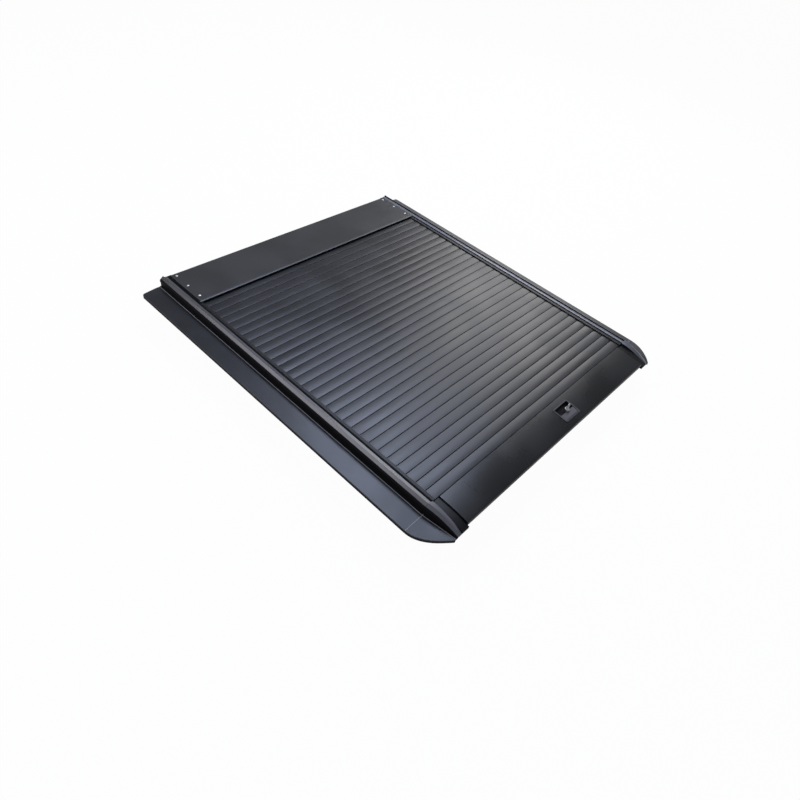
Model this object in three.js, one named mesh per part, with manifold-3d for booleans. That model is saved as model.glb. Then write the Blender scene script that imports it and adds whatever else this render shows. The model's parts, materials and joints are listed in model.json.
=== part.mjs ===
// Roller-shutter bed cover: a curtain of slats that slides in two side rails and
// runs into a canister at the front of the bed.
// Millimetres, +Z up, +X to the right, +Y towards the canister.
// The pieces are laid out in a working frame: x = 0 on the centre line, y = 0 at the
// lid's front edge, z = 0 at the rails' inner top edge. The last lines move that frame so
// that the origin lies in the middle of the left rail's seat.
import * as THREE from 'three';
import { mergeVertices } from 'three/addons/utils/BufferGeometryUtils.js';
import Module from 'manifold-3d';

const wasm = await Module();
wasm.setup();

// Curtain
const openingWidth = 1312;
const slatPitch = 45;
const slatCount = 29;
const slatThickness = 9;
const slatDrop = 7;
const slatEndReach = 12;
const slatCrown = 0.5;
const slatWall = 1.4;
const slatEdgeRadius = 2.2;
const slatFarChamfer = 0.7;
const seamWidth = 0.8;
const lipThickness = 1.6;
const tongueThickness = 1.5;
const beadThickness = 1.6;
const socketRoof = 2.6;
const hookClearance = 0.35;
const hookSlack = 1.2;
const lastSlatUnderLid = 12;

// Side rails
const innerTopWidth = 21.5;
const innerTopFall = 2;
const sealGrooveReach = 6.5;
const crestRise = 6.2;
const crestWidth = 2;
const railWidth = 39;
const shoulderDrop = 7;
const railDepth = 45;
const railWall = 2.6;
const railEase = 0.6;
const sideRecessDepth = 2;
const sideRecessHeight = 22;
const sideRecessDrop = 12;
const footReach = 21;
const footThickness = 3;
const ledgeReach = 15;
const ledgeDrop = 2.4;
const ledgeThickness = 2.8;
const ledgeGrooveWidth = 2.2;
const ledgeGrooveDepth = 1.2;
const floorReach = 14;
const channelEndGap = 2;
const slideClearance = 0.3;
const railOverrun = 11;

// Flanges over the bed sides
const flangeReach = 127;
const flangeThickness = 2.5;
const flangeFall = 6.5;
const flangeLip = 13;
const flangeEase = 1.5;
const flangeBeadWidth = 4;
const flangeBeadRise = 1.8;
const flangeCorner = 12;
const seatClearance = 0.3;

// Tail pieces
const tipFrontReach = 34;
const tipInnerReach = 20;
const capInset = 31;
const capFrontReach = 24;
const capLength = 136;
const capCrestX = 22;
const capFrontCrestX = 10;
const capShelfDrop = 3;
const capCrestFall = 40;
const capShoulderFall = 30;
const capFrontThickness = 2.5;
const capCorner = 1;

// Bullnose, the curtain's front slat
const bullnoseLength = 130;
const bullnoseFall = 10;
const noseRadius = 8;
const bullnoseDepth = 33;
const bullnoseHeel = 7;
const bullnoseSkin = 3;
const bullnoseUndercut = 26;
const bullnoseInset = 36;

// Canister and lid
const lidLength = 224;
const lidThickness = 3;
const lidRise = 5;
const lidInset = 4;
const lidFrontLip = 6;
const lidRearLip = 7;
const lidNoseLength = 16;
const lidNoseDrop = 3;
const lidEdgeRadius = 1.2;
const lidBarWidth = 30;
const canisterSetback = 8;
const canisterRearInset = 8;
const canisterSheet = 2.5;
const canisterFloor = 4;
const wallTopGap = 2;
const wallSideGap = 1;
const rollRadius = 71;
const rollClearance = 3;
const endPlateThickness = 3;

// Rivets
const rivetInset = 24;
const rivetFrontSetback = 37;
const rivetRearSetback = 19;
const rivetHeadRadius = 5;
const rivetHeadHeight = 2;
const rivetShankRadius = 2.4;
const rivetHoleClearance = 0.3;
const rivetGrip = 3;

// Drum
const drumRadius = 30;
const drumWall = 2.5;
const drumPlugLength = 14;
const drumEndGap = 2;
const axleRadius = 8;
const axleOverhang = 4;
const turningClearance = 0.3;
const leaderThickness = 1.2;
const leaderGap = 0.4;
const leaderTurns = 1.6;
const leaderEndMargin = 40;

// Lock in the bullnose
const lockX = 83;
const lockSetback = 64;
const pocketLength = 94;
const pocketWidth = 68;
const pocketDepth = 13;
const pocketWall = 3;
const pocketFloor = 2;
const pocketCorner = 3;
const bezelMargin = 3;
const bezelHeight = 1.2;
const bezelCorner = 8;
const lockFitGap = 0.5;
const hubX = 4;
const hubY = 2;
const hubRadius = 11;
const hubRise = 1.5;
const shaftRadius = 5;
const leverLength = 37;
const leverWidth = 9;
const leverTipWidth = 6;
const leverSkew = Math.PI / 13;
const leverLift = 4;
const leverThickness = 4;
const plugRadius = 7.5;
const plugLength = 9;
const plugRise = 0.6;
const keySlotLength = 9;
const keySlotWidth = 1.8;
const keySlotDepth = 3;
const camRadius = 15;
const camThickness = 3;
const camDrop = 2;
const crankRadius = 11.5;
const drivePinRadius = 2;
const drivePinPlay = 0.6;
const rodWidth = 14;
const rodThickness = 4;
const rodDrop = 1.5;
const rodTipSetback = 2;
const rodTipTaper = 3;
const rodEngagement = 14;
const strikeClearance = 0.6;
const paddleThickness = 3;
const paddleDrop = 0.2;
const paddleBarrelRadius = 2;
const paddlePinRadius = 1.2;
const paddleEdgeY = -3;
const paddleNotchGap = 1.5;
const paddleSideGap = 0.6;

// Counts for round and curved outlines
const roundSegments = 24;
const smallSegments = 16;
const noseSteps = 5;
const arcSteps = 8;
const tipSteps = 14;
const capSteps = 10;
const leaderSteps = 56;
const cutOverrun = 5;

// Sizes worked out from those above
const half = openingWidth / 2;
const halfSeam = seamWidth / 2;
const tailSeamY = lastSlatUnderLid - slatCount * slatPitch;
const railRearY = lidLength + railOverrun;
const floorDrop = slatDrop + slatThickness + slideClearance;
const channelReach = slatEndReach + channelEndGap;
const ledgeBottom = ledgeDrop + ledgeThickness;
const footEdge = railWidth + footReach;
const flangeTop = railDepth - footThickness - flangeThickness;
const tongueReach = halfSeam + lipThickness + hookClearance + beadThickness;
const socketEnd = tongueReach + hookSlack;
const beadTop = socketRoof + hookClearance;
const lipDepth = slatThickness - tongueThickness - hookClearance;
const lidUnderside = lidRise - lidThickness;
const canisterRearY = lidLength - canisterRearInset;
const drumY = (canisterSetback + canisterRearY) / 2;
const drumDrop = slatDrop + slatThickness + rollClearance + rollRadius;
const canisterDepth = drumDrop + rollRadius + rollClearance + canisterFloor;
const endPlateInner = half + channelReach - endPlateThickness;
const canisterHalf = endPlateInner - slideClearance;
const noseStart = bullnoseLength - noseRadius;

// Materials
function material(color, roughness, metalness) {
  return new THREE.MeshStandardMaterial({ color, roughness, metalness });
}

const blackCoat = () => material(0x2c2d31, 0.45, 0.35);
const lidCoat = () => material(0x35363a, 0.5, 0.3);
const blackPlastic = () => material(0x232428, 0.6, 0);
const brightMetal = () => material(0xc9ccd0, 0.25, 1);
const greyPlastic = () => material(0x6d6c74, 0.45, 0.1);
const plainSteel = () => material(0x8d9094, 0.4, 0.9);
const plainAluminium = () => material(0xa4a7ab, 0.45, 0.8);
const webbing = () => material(0x18181a, 0.9, 0);

// Outlines and solids
function outline(points) {
  return new THREE.Shape(points.map(([x, y]) => new THREE.Vector2(x, y)));
}

function extrude(shape, depth, curveSegments = smallSegments) {
  return new THREE.ExtrudeGeometry(shape, { depth, bevelEnabled: false, curveSegments });
}

// A section drawn in (outward, up) at one side of the cover, run along Y.
function alongY(points, side, fromY, toY) {
  const shape = outline(points.map(([reach, up]) => [side * (half + reach), up]));
  const geometry = extrude(shape, toY - fromY);
  geometry.rotateX(Math.PI / 2);
  geometry.translate(0, toY, 0);
  return geometry;
}

// A section drawn in (y, z), run along X to the same reach on both sides.
function acrossX(points, reach) {
  const geometry = extrude(outline(points), 2 * reach);
  const yAxis = new THREE.Vector3(0, 1, 0);
  const zAxis = new THREE.Vector3(0, 0, 1);
  const xAxis = new THREE.Vector3(1, 0, 0);
  geometry.applyMatrix4(new THREE.Matrix4().makeBasis(yAxis, zAxis, xAxis));
  geometry.translate(-reach, 0, 0);
  return geometry;
}

// A plate drawn in (x, y), thick from one height to another.
function upright(shape, fromZ, toZ, curveSegments) {
  const geometry = extrude(shape, toZ - fromZ, curveSegments);
  geometry.translate(0, 0, fromZ);
  return geometry;
}

function box(fromX, toX, fromY, toY, fromZ, toZ) {
  const geometry = new THREE.BoxGeometry(toX - fromX, toY - fromY, toZ - fromZ);
  geometry.translate((fromX + toX) / 2, (fromY + toY) / 2, (fromZ + toZ) / 2);
  return geometry;
}

function post(radius, x, y, fromZ, toZ, segments = roundSegments) {
  const geometry = new THREE.CylinderGeometry(radius, radius, toZ - fromZ, segments);
  geometry.rotateX(Math.PI / 2);
  geometry.translate(x, y, (fromZ + toZ) / 2);
  return geometry;
}

function barX(radius, fromX, toX, y, z, segments = roundSegments) {
  const geometry = new THREE.CylinderGeometry(radius, radius, toX - fromX, segments);
  geometry.rotateZ(Math.PI / 2);
  geometry.translate((fromX + toX) / 2, y, z);
  return geometry;
}

function roundedRectangle(length, width, radius) {
  const x = length / 2;
  const y = width / 2;
  const shape = new THREE.Shape();
  shape.moveTo(-x + radius, -y);
  shape.lineTo(x - radius, -y);
  shape.absarc(x - radius, -y + radius, radius, -Math.PI / 2, 0, false);
  shape.lineTo(x, y - radius);
  shape.absarc(x - radius, y - radius, radius, 0, Math.PI / 2, false);
  shape.lineTo(-x + radius, y);
  shape.absarc(-x + radius, y - radius, radius, Math.PI / 2, Math.PI, false);
  shape.lineTo(-x, -y + radius);
  shape.absarc(-x + radius, -y + radius, radius, Math.PI, Math.PI * 3 / 2, false);
  return shape;
}

// A closed body through equal rings of points that follow one another towards the tail,
// with flat ends.
function loft(sections) {
  const flat = (ring) => ring.map(([x, , z]) => new THREE.Vector2(x, z));
  const turned = THREE.ShapeUtils.isClockWise(flat(sections[0]));
  const rings = sections.map((ring) => (turned ? [...ring].reverse() : ring));
  const count = rings[0].length;
  const triangles = [];
  for (let ring = 0; ring + 1 < rings.length; ring += 1) {
    for (let point = 0; point < count; point += 1) {
      const a = ring * count + point;
      const b = ring * count + (point + 1) % count;
      triangles.push(a, b, b + count, a, b + count, a + count);
    }
  }
  const last = (rings.length - 1) * count;
  for (const [a, b, c] of THREE.ShapeUtils.triangulateShape(flat(rings[0]), [])) {
    triangles.push(c, b, a);
  }
  for (const [a, b, c] of THREE.ShapeUtils.triangulateShape(flat(rings.at(-1)), [])) {
    triangles.push(last + a, last + b, last + c);
  }
  const geometry = new THREE.BufferGeometry();
  geometry.setAttribute('position', new THREE.Float32BufferAttribute(rings.flat(2), 3));
  geometry.setIndex(triangles);
  geometry.computeVertexNormals();
  return geometry;
}

function toSolid(geometry) {
  const bare = geometry.clone();
  bare.deleteAttribute('normal');
  bare.deleteAttribute('uv');
  const merged = mergeVertices(bare);
  const vertProperties = merged.attributes.position.array;
  const triVerts = new Uint32Array(merged.index.array);
  return new wasm.Manifold(new wasm.Mesh({ numProp: 3, vertProperties, triVerts }));
}

function toGeometry(solid) {
  const mesh = solid.getMesh();
  const geometry = new THREE.BufferGeometry();
  geometry.setAttribute('position', new THREE.BufferAttribute(new Float32Array(mesh.vertProperties), 3));
  geometry.setIndex(new THREE.BufferAttribute(new Uint32Array(mesh.triVerts), 1));
  geometry.computeVertexNormals();
  return geometry;
}

function cut(body, ...tools) {
  const solid = tools.reduce((rest, tool) => rest.subtract(toSolid(tool)), toSolid(body));
  return toGeometry(solid);
}

function join(...bodies) {
  const [first, ...others] = bodies.map(toSolid);
  return toGeometry(others.reduce((whole, body) => whole.add(body), first));
}

// Nodes
const cover = new THREE.Group();

function add(name, geometry, finish, parent = cover) {
  const mesh = new THREE.Mesh(geometry, finish);
  mesh.name = name;
  parent.add(mesh);
  return mesh;
}

const sides = [[-1, 'left'], [1, 'right']];

// Slats: a rolled near edge hooks over the upturned tongue of the next slat towards the tail.
function slatOutline() {
  const far = slatPitch - halfSeam;
  const crown = (share) => -slatCrown * (2 * share - 1) ** 2;
  const crownShares = [0.8, 0.6, 0.4, 0.2];
  const rollStart = halfSeam + slatEdgeRadius;
  const points = [
    [halfSeam, -lipDepth],
    [halfSeam + lipThickness, -lipDepth],
    [halfSeam + lipThickness, -socketRoof],
    [socketEnd, -socketRoof],
    [socketEnd, -slatThickness],
    ...tonguePoints(slatPitch),
    [far, -slatCrown - slatFarChamfer],
    [far - slatFarChamfer, -slatCrown],
    ...crownShares.map((share) => [rollStart + share * (far - rollStart), crown(share)]),
  ];
  for (let step = 0; step < noseSteps; step += 1) {
    const angle = (step / noseSteps) * Math.PI / 2;
    points.push([
      rollStart - slatEdgeRadius * Math.sin(angle),
      -slatCrown - slatEdgeRadius * (1 - Math.cos(angle)),
    ]);
  }
  return points;
}

// The upturned tongue that the next lip hooks over, at a seam.
function tonguePoints(seam) {
  return [
    [seam + tongueReach, -slatThickness],
    [seam + tongueReach, -beadTop],
    [seam + tongueReach - beadThickness, -beadTop],
    [seam + tongueReach - beadThickness, -slatThickness + tongueThickness],
    [seam - halfSeam, -slatThickness + tongueThickness],
  ];
}

function slatChambers() {
  const from = socketEnd + slatWall;
  const to = slatPitch - halfSeam - slatWall;
  const middle = (from + to) / 2;
  const low = -slatThickness + slatWall;
  const high = -slatCrown - slatWall;
  const chamber = (start, end) => [[start, low], [end, low], [end, high], [start, high]];
  return [chamber(from, middle - slatWall / 2), chamber(middle + slatWall / 2, to)];
}

function addSlats() {
  const reach = half + slatEndReach;
  const chambers = slatChambers().map((chamber) => acrossX(chamber, reach + cutOverrun));
  const geometry = cut(acrossX(slatOutline(), reach), ...chambers);
  for (let index = 0; index < slatCount; index += 1) {
    const mesh = add(`slat_${String(index + 1).padStart(2, '0')}`, geometry, blackCoat());
    mesh.position.set(0, tailSeamY + index * slatPitch, -slatDrop);
  }
}

// Side rails
function railOutline() {
  const recessTop = -shoulderDrop - sideRecessDrop + sideRecessDepth;
  const recessLow = recessTop - sideRecessHeight;
  return [
    [-ledgeReach, -ledgeBottom],
    [-ledgeReach, -ledgeDrop - railEase],
    [-ledgeReach + railEase, -ledgeDrop],
    [-ledgeGrooveWidth, -ledgeDrop],
    [-ledgeGrooveWidth, -ledgeDrop - ledgeGrooveDepth],
    [sealGrooveReach, -ledgeDrop - ledgeGrooveDepth],
    [sealGrooveReach, -innerTopFall - railEase],
    [sealGrooveReach + railEase, -innerTopFall],
    [innerTopWidth, 0],
    [innerTopWidth, crestRise - railEase],
    [innerTopWidth + railEase, crestRise],
    [innerTopWidth + crestWidth, crestRise],
    [railWidth - railEase, -shoulderDrop + railEase],
    [railWidth, -shoulderDrop],
    [railWidth, recessTop],
    [railWidth - sideRecessDepth, recessTop - sideRecessDepth],
    [railWidth - sideRecessDepth, recessLow + sideRecessDepth],
    [railWidth, recessLow],
    [railWidth, -railDepth + footThickness],
    [footEdge, -railDepth + footThickness],
    [footEdge, -railDepth],
    [-floorReach, -railDepth],
    [-floorReach, -floorDrop],
    [channelReach, -floorDrop],
    [channelReach, -ledgeBottom],
  ];
}

function railChamber() {
  const inner = channelReach + railWall;
  const outer = railWidth - sideRecessDepth - railWall;
  const low = -railDepth + railWall;
  const underFloor = -floorDrop - railWall;
  return [
    [inner, underFloor],
    [inner, -innerTopFall - railWall],
    [innerTopWidth + crestWidth + railWall, -railWall],
    [outer, -shoulderDrop - railWall],
    [outer, low],
    [-floorReach + railWall, low],
    [-floorReach + railWall, underFloor],
  ];
}

// Over the canister the rail's floor is left out, so that the slats can turn down to the drum.
function addRails() {
  for (const [side, word] of sides) {
    const body = alongY(railOutline(), side, tailSeamY, railRearY);
    const chamber = alongY(railChamber(), side, tailSeamY - cutOverrun, railRearY + cutOverrun);
    const innerX = side * (half - floorReach - cutOverrun);
    const outerX = side * (half + channelReach);
    const window = box(
      Math.min(innerX, outerX), Math.max(innerX, outerX),
      canisterSetback - wallSideGap, canisterRearY + wallSideGap,
      -railDepth - cutOverrun, -ledgeBottom,
    );
    add(`rail_${word}`, cut(body, chamber, window), blackCoat());
  }
}

// Flanges and their tail tips. A low bead runs along the rail's side, and then along the
// end cap's side, which turns in towards the tail.
function flangeSurface(reach) {
  const share = Math.max(0, (reach - footEdge) / (flangeReach - footEdge));
  return -flangeTop - flangeFall * share;
}

function flangeOutline() {
  const root = railWidth + seatClearance;
  const edge = flangeSurface(flangeReach);
  return [
    [root, -flangeTop - flangeThickness + seatClearance],
    [root, -flangeTop + flangeBeadRise],
    [root + flangeBeadWidth, -flangeTop + flangeBeadRise],
    [root + flangeBeadWidth + flangeEase, -flangeTop],
    [footEdge, -flangeTop],
    [flangeReach - flangeEase, edge],
    [flangeReach, edge - flangeEase],
    [flangeReach, edge - flangeLip],
    [flangeReach - flangeThickness, edge - flangeLip],
    [flangeReach - flangeThickness, edge - flangeThickness],
    [footEdge, -flangeTop - flangeThickness + seatClearance],
  ];
}

// A block outside the flange's rounded rear corner, which the cut takes away.
function cornerTool(side) {
  const x = side * (half + flangeReach);
  const centreX = x - side * flangeCorner;
  const centreY = railRearY - flangeCorner;
  const shape = new THREE.Shape();
  shape.moveTo(x + side * cutOverrun, centreY);
  shape.lineTo(x, centreY);
  shape.absarc(centreX, centreY, flangeCorner, side > 0 ? 0 : Math.PI, Math.PI / 2, side < 0);
  shape.lineTo(centreX, railRearY + cutOverrun);
  shape.lineTo(x + side * cutOverrun, railRearY + cutOverrun);
  return upright(shape, -railDepth - flangeFall - flangeLip, 0);
}

function addFlanges() {
  for (const [side, word] of sides) {
    const body = alongY(flangeOutline(), side, tailSeamY, railRearY);
    add(`bed_flange_${word}`, cut(body, cornerTool(side)), blackPlastic());
    add(`flange_tip_${word}`, tipBody(side), blackPlastic());
  }
}

// The tip's outer edge turns in along a parabola.
function tipBody(side) {
  const length = capLength + seatClearance;
  const edgeAt = (share) => flangeReach - (flangeReach - tipFrontReach) * share ** 2;
  const place = (y) => ([reach, up]) => [side * (half + reach), y, up];
  const rings = [];
  for (let step = 0; step <= tipSteps; step += 1) {
    const share = step / tipSteps;
    const edge = edgeAt(share);
    const top = flangeSurface(edge);
    const y = tailSeamY - seatClearance - share * length;
    const root = capOuterReach(share) + seatClearance;
    const middle = Math.min(footEdge, edge - 2 * flangeEase);
    const ring = [
      [tipInnerReach, -flangeTop],
      [root, -flangeTop],
      [root, -flangeTop + flangeBeadRise],
      [root + flangeBeadWidth, -flangeTop + flangeBeadRise],
      [root + flangeBeadWidth + flangeEase, -flangeTop],
      [middle, -flangeTop],
      [edge - flangeEase, top],
      [edge, top - flangeEase],
      [edge, top - flangeLip],
      [edge - flangeThickness, top - flangeLip],
      [edge - flangeThickness, top - flangeThickness],
      [middle, -flangeTop - flangeThickness],
      [tipInnerReach, -flangeTop - flangeThickness],
    ];
    rings.push(ring.map(place(y)));
  }
  return loft(rings);
}

function capOuterReach(share) {
  return railWidth + (capFrontReach - railWidth) * share;
}

// Rail end caps: the outer part falls faster than the inner shelf beside the bullnose.
function capRing(side, share) {
  const ease = share ** 2;
  const outer = capOuterReach(share);
  const crestX = capCrestX + (capFrontCrestX - capCrestX) * share;
  const base = -flangeTop + seatClearance;
  const shelf = -slatDrop - capShelfDrop - bullnoseFall * ease - noseRadius * ease ** 2;
  const crest = crestRise - capCrestFall * ease;
  const edge = -railEase - (capCrestFall - crestRise) * ease;
  const shoulder = Math.max(-shoulderDrop - capShoulderFall * ease, base + capFrontThickness);
  const y = tailSeamY - seatClearance - share * capLength;
  const points = [
    [-capInset, base],
    [-capInset, shelf - capCorner],
    [-capInset + capCorner, shelf],
    [-capCorner, shelf],
    [0, edge],
    [crestX / 2, (edge + crest) / 2 + capCorner],
    [crestX, crest],
    [(crestX + outer) / 2, (crest + shoulder) / 2 + capCorner],
    [outer, shoulder],
    [outer, base],
  ];
  return points.map(([reach, up]) => [side * (half + reach), y, up]);
}

function addEndCaps(strikeTools) {
  for (const [side, word] of sides) {
    const rings = [];
    for (let step = 0; step <= capSteps; step += 1) {
      rings.push(capRing(side, step / capSteps));
    }
    add(`rail_end_cap_${word}`, cut(loft(rings), strikeTools[word]), blackPlastic());
  }
}

// Canister
function lidOutline() {
  const points = [];
  for (let step = 0; step <= noseSteps; step += 1) {
    const angle = (step / noseSteps) * Math.PI / 2;
    points.push([
      lidNoseLength * (1 - Math.cos(angle)),
      lidRise - lidNoseDrop * (1 - Math.sin(angle)),
    ]);
  }
  return [
    [lidThickness, lidUnderside - lidNoseDrop / 2],
    [lidThickness, lidRise - lidFrontLip],
    [0, lidRise - lidFrontLip],
    ...points,
    [lidLength - lidEdgeRadius, lidRise],
    [lidLength, lidRise - lidEdgeRadius],
    [lidLength, lidRise - lidRearLip],
    [lidLength - lidThickness, lidRise - lidRearLip],
    [lidLength - lidThickness, lidUnderside],
    [lidNoseLength, lidUnderside],
  ];
}

function rivetPlaces() {
  const front = rivetFrontSetback;
  const rear = lidLength - rivetRearSetback;
  return [['front', front], ['middle', (front + rear) / 2], ['rear', rear]];
}

function rivetHoles(side, fromZ, toZ) {
  const x = side * (half - rivetInset);
  const radius = rivetShankRadius + rivetHoleClearance;
  return rivetPlaces().map(([, y]) => post(radius, x, y, fromZ, toZ, smallSegments));
}

function addLid() {
  const body = acrossX(lidOutline(), half - lidInset);
  const holes = sides.flatMap(([side]) => rivetHoles(side, lidUnderside - lidThickness, lidRise + cutOverrun));
  add('canister_lid', cut(body, ...holes), lidCoat());
}

function addLidBars() {
  for (const [side, word] of sides) {
    const outerX = side * (half - lidInset);
    const innerX = side * (half - lidInset - lidBarWidth);
    const bar = box(
      Math.min(innerX, outerX), Math.max(innerX, outerX),
      lidNoseLength + seatClearance, canisterRearY - canisterSheet - seatClearance,
      -ledgeDrop, lidUnderside,
    );
    const depth = lidUnderside - rivetGrip - rivetHoleClearance;
    add(`lid_bar_${word}`, cut(bar, ...rivetHoles(side, depth, lidUnderside + cutOverrun)), blackCoat());
  }
}

function rivetGeometry() {
  const profile = [new THREE.Vector2(0, lidUnderside - rivetGrip)];
  profile.push(new THREE.Vector2(rivetShankRadius, lidUnderside - rivetGrip));
  profile.push(new THREE.Vector2(rivetShankRadius, lidRise));
  profile.push(new THREE.Vector2(rivetHeadRadius, lidRise));
  for (let step = 1; step < noseSteps; step += 1) {
    const angle = (step / noseSteps) * Math.PI / 2;
    const radius = rivetHeadRadius * Math.cos(angle);
    profile.push(new THREE.Vector2(radius, lidRise + rivetHeadHeight * Math.sin(angle)));
  }
  profile.push(new THREE.Vector2(0, lidRise + rivetHeadHeight));
  const geometry = new THREE.LatheGeometry(profile, smallSegments);
  geometry.rotateX(Math.PI / 2);
  return geometry;
}

function addRivets() {
  for (const [side, word] of sides) {
    for (const [row, y] of rivetPlaces()) {
      const mesh = add(`lid_rivet_${word}_${row}`, rivetGeometry(), brightMetal());
      mesh.position.set(side * (half - rivetInset), y, 0);
    }
  }
}

// The trough: a front wall, a floor, and a rear wall up to the lid.
function troughOutline() {
  const front = canisterSetback;
  const rear = canisterRearY;
  const frontTop = -floorDrop - wallTopGap;
  return [
    [front, frontTop],
    [front, -canisterDepth],
    [rear, -canisterDepth],
    [rear, lidUnderside],
    [rear - canisterSheet, lidUnderside],
    [rear - canisterSheet, -canisterDepth + canisterFloor],
    [front + canisterSheet, -canisterDepth + canisterFloor],
    [front + canisterSheet, frontTop],
  ];
}

function addTrough() {
  const body = acrossX(troughOutline(), canisterHalf);
  const tools = sides.map(([side]) => {
    const innerX = side * (half - ledgeReach - wallSideGap);
    const outerX = side * (canisterHalf + cutOverrun);
    return box(
      Math.min(innerX, outerX), Math.max(innerX, outerX),
      canisterRearY - canisterSheet - cutOverrun, canisterRearY + cutOverrun,
      -ledgeBottom - slideClearance, lidUnderside + cutOverrun,
    );
  });
  add('canister_trough', cut(body, ...tools), blackCoat());
}

// The end plates stand against the rails' inner walls, below the slats.
function addCanisterEnds() {
  const top = -floorDrop - wallTopGap;
  const reach = endPlateInner + endPlateThickness;
  const hole = barX(axleRadius + turningClearance, -reach - cutOverrun, reach + cutOverrun, drumY, -drumDrop);
  for (const [side, word] of sides) {
    const plate = box(
      Math.min(side * endPlateInner, side * reach), Math.max(side * endPlateInner, side * reach),
      canisterSetback, canisterRearY, -canisterDepth, top,
    );
    add(`canister_end_${word}`, cut(plate, hole), blackCoat());
  }
}

// Drum
function addAxle() {
  const reach = endPlateInner + endPlateThickness + axleOverhang;
  add('drum_axle', barX(axleRadius, -reach, reach, drumY, -drumDrop), plainSteel());
}

function addDrum() {
  const reach = endPlateInner - drumEndGap;
  const bore = axleRadius + turningClearance;
  const profile = [
    [bore, -reach],
    [drumRadius, -reach],
    [drumRadius, reach],
    [bore, reach],
    [bore, reach - drumPlugLength],
    [drumRadius - drumWall, reach - drumPlugLength],
    [drumRadius - drumWall, -reach + drumPlugLength],
    [bore, -reach + drumPlugLength],
    [bore, -reach],
  ].map(([radius, along]) => new THREE.Vector2(radius, along));
  const geometry = new THREE.LatheGeometry(profile, roundSegments);
  geometry.rotateZ(-Math.PI / 2);
  const mesh = add('drum_tube', geometry, plainAluminium());
  mesh.position.set(0, drumY, -drumDrop);
}

// The pull-in web that joins the drum to the curtain, wound on the drum.
function addLeader() {
  const pitch = leaderThickness + leaderGap;
  const edge = (offset) => Array.from({ length: leaderSteps + 1 }, (unused, step) => {
    const turn = (step / leaderSteps) * leaderTurns;
    const radius = drumRadius + leaderGap + pitch * turn + offset;
    return [radius * Math.cos(turn * Math.PI * 2), radius * Math.sin(turn * Math.PI * 2)];
  });
  const points = [...edge(0), ...edge(leaderThickness).reverse()];
  const mesh = add('drum_leader', acrossX(points, half - leaderEndMargin), webbing());
  mesh.position.set(0, drumY, -drumDrop);
}

// Bullnose
function bullnoseTop(run) {
  return -bullnoseFall * (run / noseStart) ** 2;
}

function bullnoseOutline() {
  const points = [
    ...tonguePoints(0),
    [-halfSeam, -slatFarChamfer],
    [-halfSeam - slatFarChamfer, 0],
  ];
  for (let step = 1; step <= arcSteps; step += 1) {
    const run = (step / arcSteps) * noseStart;
    points.push([-run, bullnoseTop(run)]);
  }
  for (let step = 1; step <= noseSteps; step += 1) {
    const angle = (step / noseSteps) * Math.PI / 2;
    points.push([
      -noseStart - noseRadius * Math.sin(angle),
      -bullnoseFall - noseRadius * (1 - Math.cos(angle)),
    ]);
  }
  return [
    ...points,
    [-bullnoseLength, -bullnoseFall - noseRadius - bullnoseSkin],
    [-bullnoseLength + bullnoseSkin, -bullnoseFall - noseRadius - bullnoseSkin],
    [-bullnoseLength + bullnoseUndercut, -bullnoseDepth],
    [-bullnoseHeel, -bullnoseDepth],
    [-bullnoseHeel, -slatThickness],
  ];
}

function bullnoseChamber() {
  const near = bullnoseHeel + bullnoseSkin;
  const far = noseStart - bullnoseSkin;
  const points = [];
  for (let step = 0; step <= arcSteps; step += 1) {
    const run = near + (step / arcSteps) * (far - near);
    points.push([-run, bullnoseTop(run) - bullnoseSkin]);
  }
  return [
    ...points,
    [-far, -bullnoseFall - noseRadius - bullnoseSkin],
    [-bullnoseLength + bullnoseUndercut, -bullnoseDepth + bullnoseSkin],
    [-near, -bullnoseDepth + bullnoseSkin],
  ];
}

// The lock's own frame: its origin on the bullnose's skin, its z axis square to the skin.
const lockSlope = 2 * bullnoseFall * lockSetback / noseStart ** 2;
const lockFrame = new THREE.Group();
lockFrame.position.set(lockX, tailSeamY - lockSetback, -slatDrop + bullnoseTop(lockSetback));
lockFrame.rotation.x = Math.atan(lockSlope);
lockFrame.updateMatrix();

function fromLockFrame(geometry) {
  return geometry.applyMatrix4(lockFrame.matrix);
}

function addBullnose() {
  const reach = half - bullnoseInset;
  const shell = cut(acrossX(bullnoseOutline(), reach), acrossX(bullnoseChamber(), half));
  shell.translate(0, tailSeamY, -slatDrop);
  const halfLength = pocketLength / 2 + lockFitGap;
  const halfWidth = pocketWidth / 2 + lockFitGap;
  const opening = box(-halfLength, halfLength, -halfWidth, halfWidth, -pocketDepth, pocketDepth);
  add('bullnose', cut(shell, fromLockFrame(opening)), blackCoat());
}

const pocketInnerHalf = pocketLength / 2 - pocketWall;
const pocketInnerSide = pocketWidth / 2 - pocketWall;
const paddleAxisY = -pocketInnerSide + paddleBarrelRadius + paddleSideGap;
const paddleAxisZ = -paddleDrop - paddleBarrelRadius;

function addPocket() {
  const floorTop = -pocketDepth + pocketFloor;
  const tub = upright(roundedRectangle(pocketLength, pocketWidth, pocketCorner + pocketWall), -pocketDepth, bezelHeight);
  const bezelLength = pocketLength + 2 * bezelMargin;
  const bezelWidth = pocketWidth + 2 * bezelMargin;
  const bezelShape = roundedRectangle(bezelLength, bezelWidth, bezelCorner);
  const bezel = upright(bezelShape, seatClearance, seatClearance + bezelHeight);
  const cavityShape = roundedRectangle(2 * pocketInnerHalf, 2 * pocketInnerSide, pocketCorner);
  const cavity = upright(cavityShape, floorTop, cutOverrun);
  const shaftHole = post(shaftRadius + turningClearance, hubX, hubY, -pocketDepth - cutOverrun, 0);
  const pinHole = barX(
    paddlePinRadius + turningClearance, -pocketLength, pocketLength, paddleAxisY, paddleAxisZ, smallSegments,
  );
  add('lock_pocket', cut(join(tub, bezel), cavity, shaftHole, pinHole), blackPlastic(), lockFrame);
}

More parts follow.
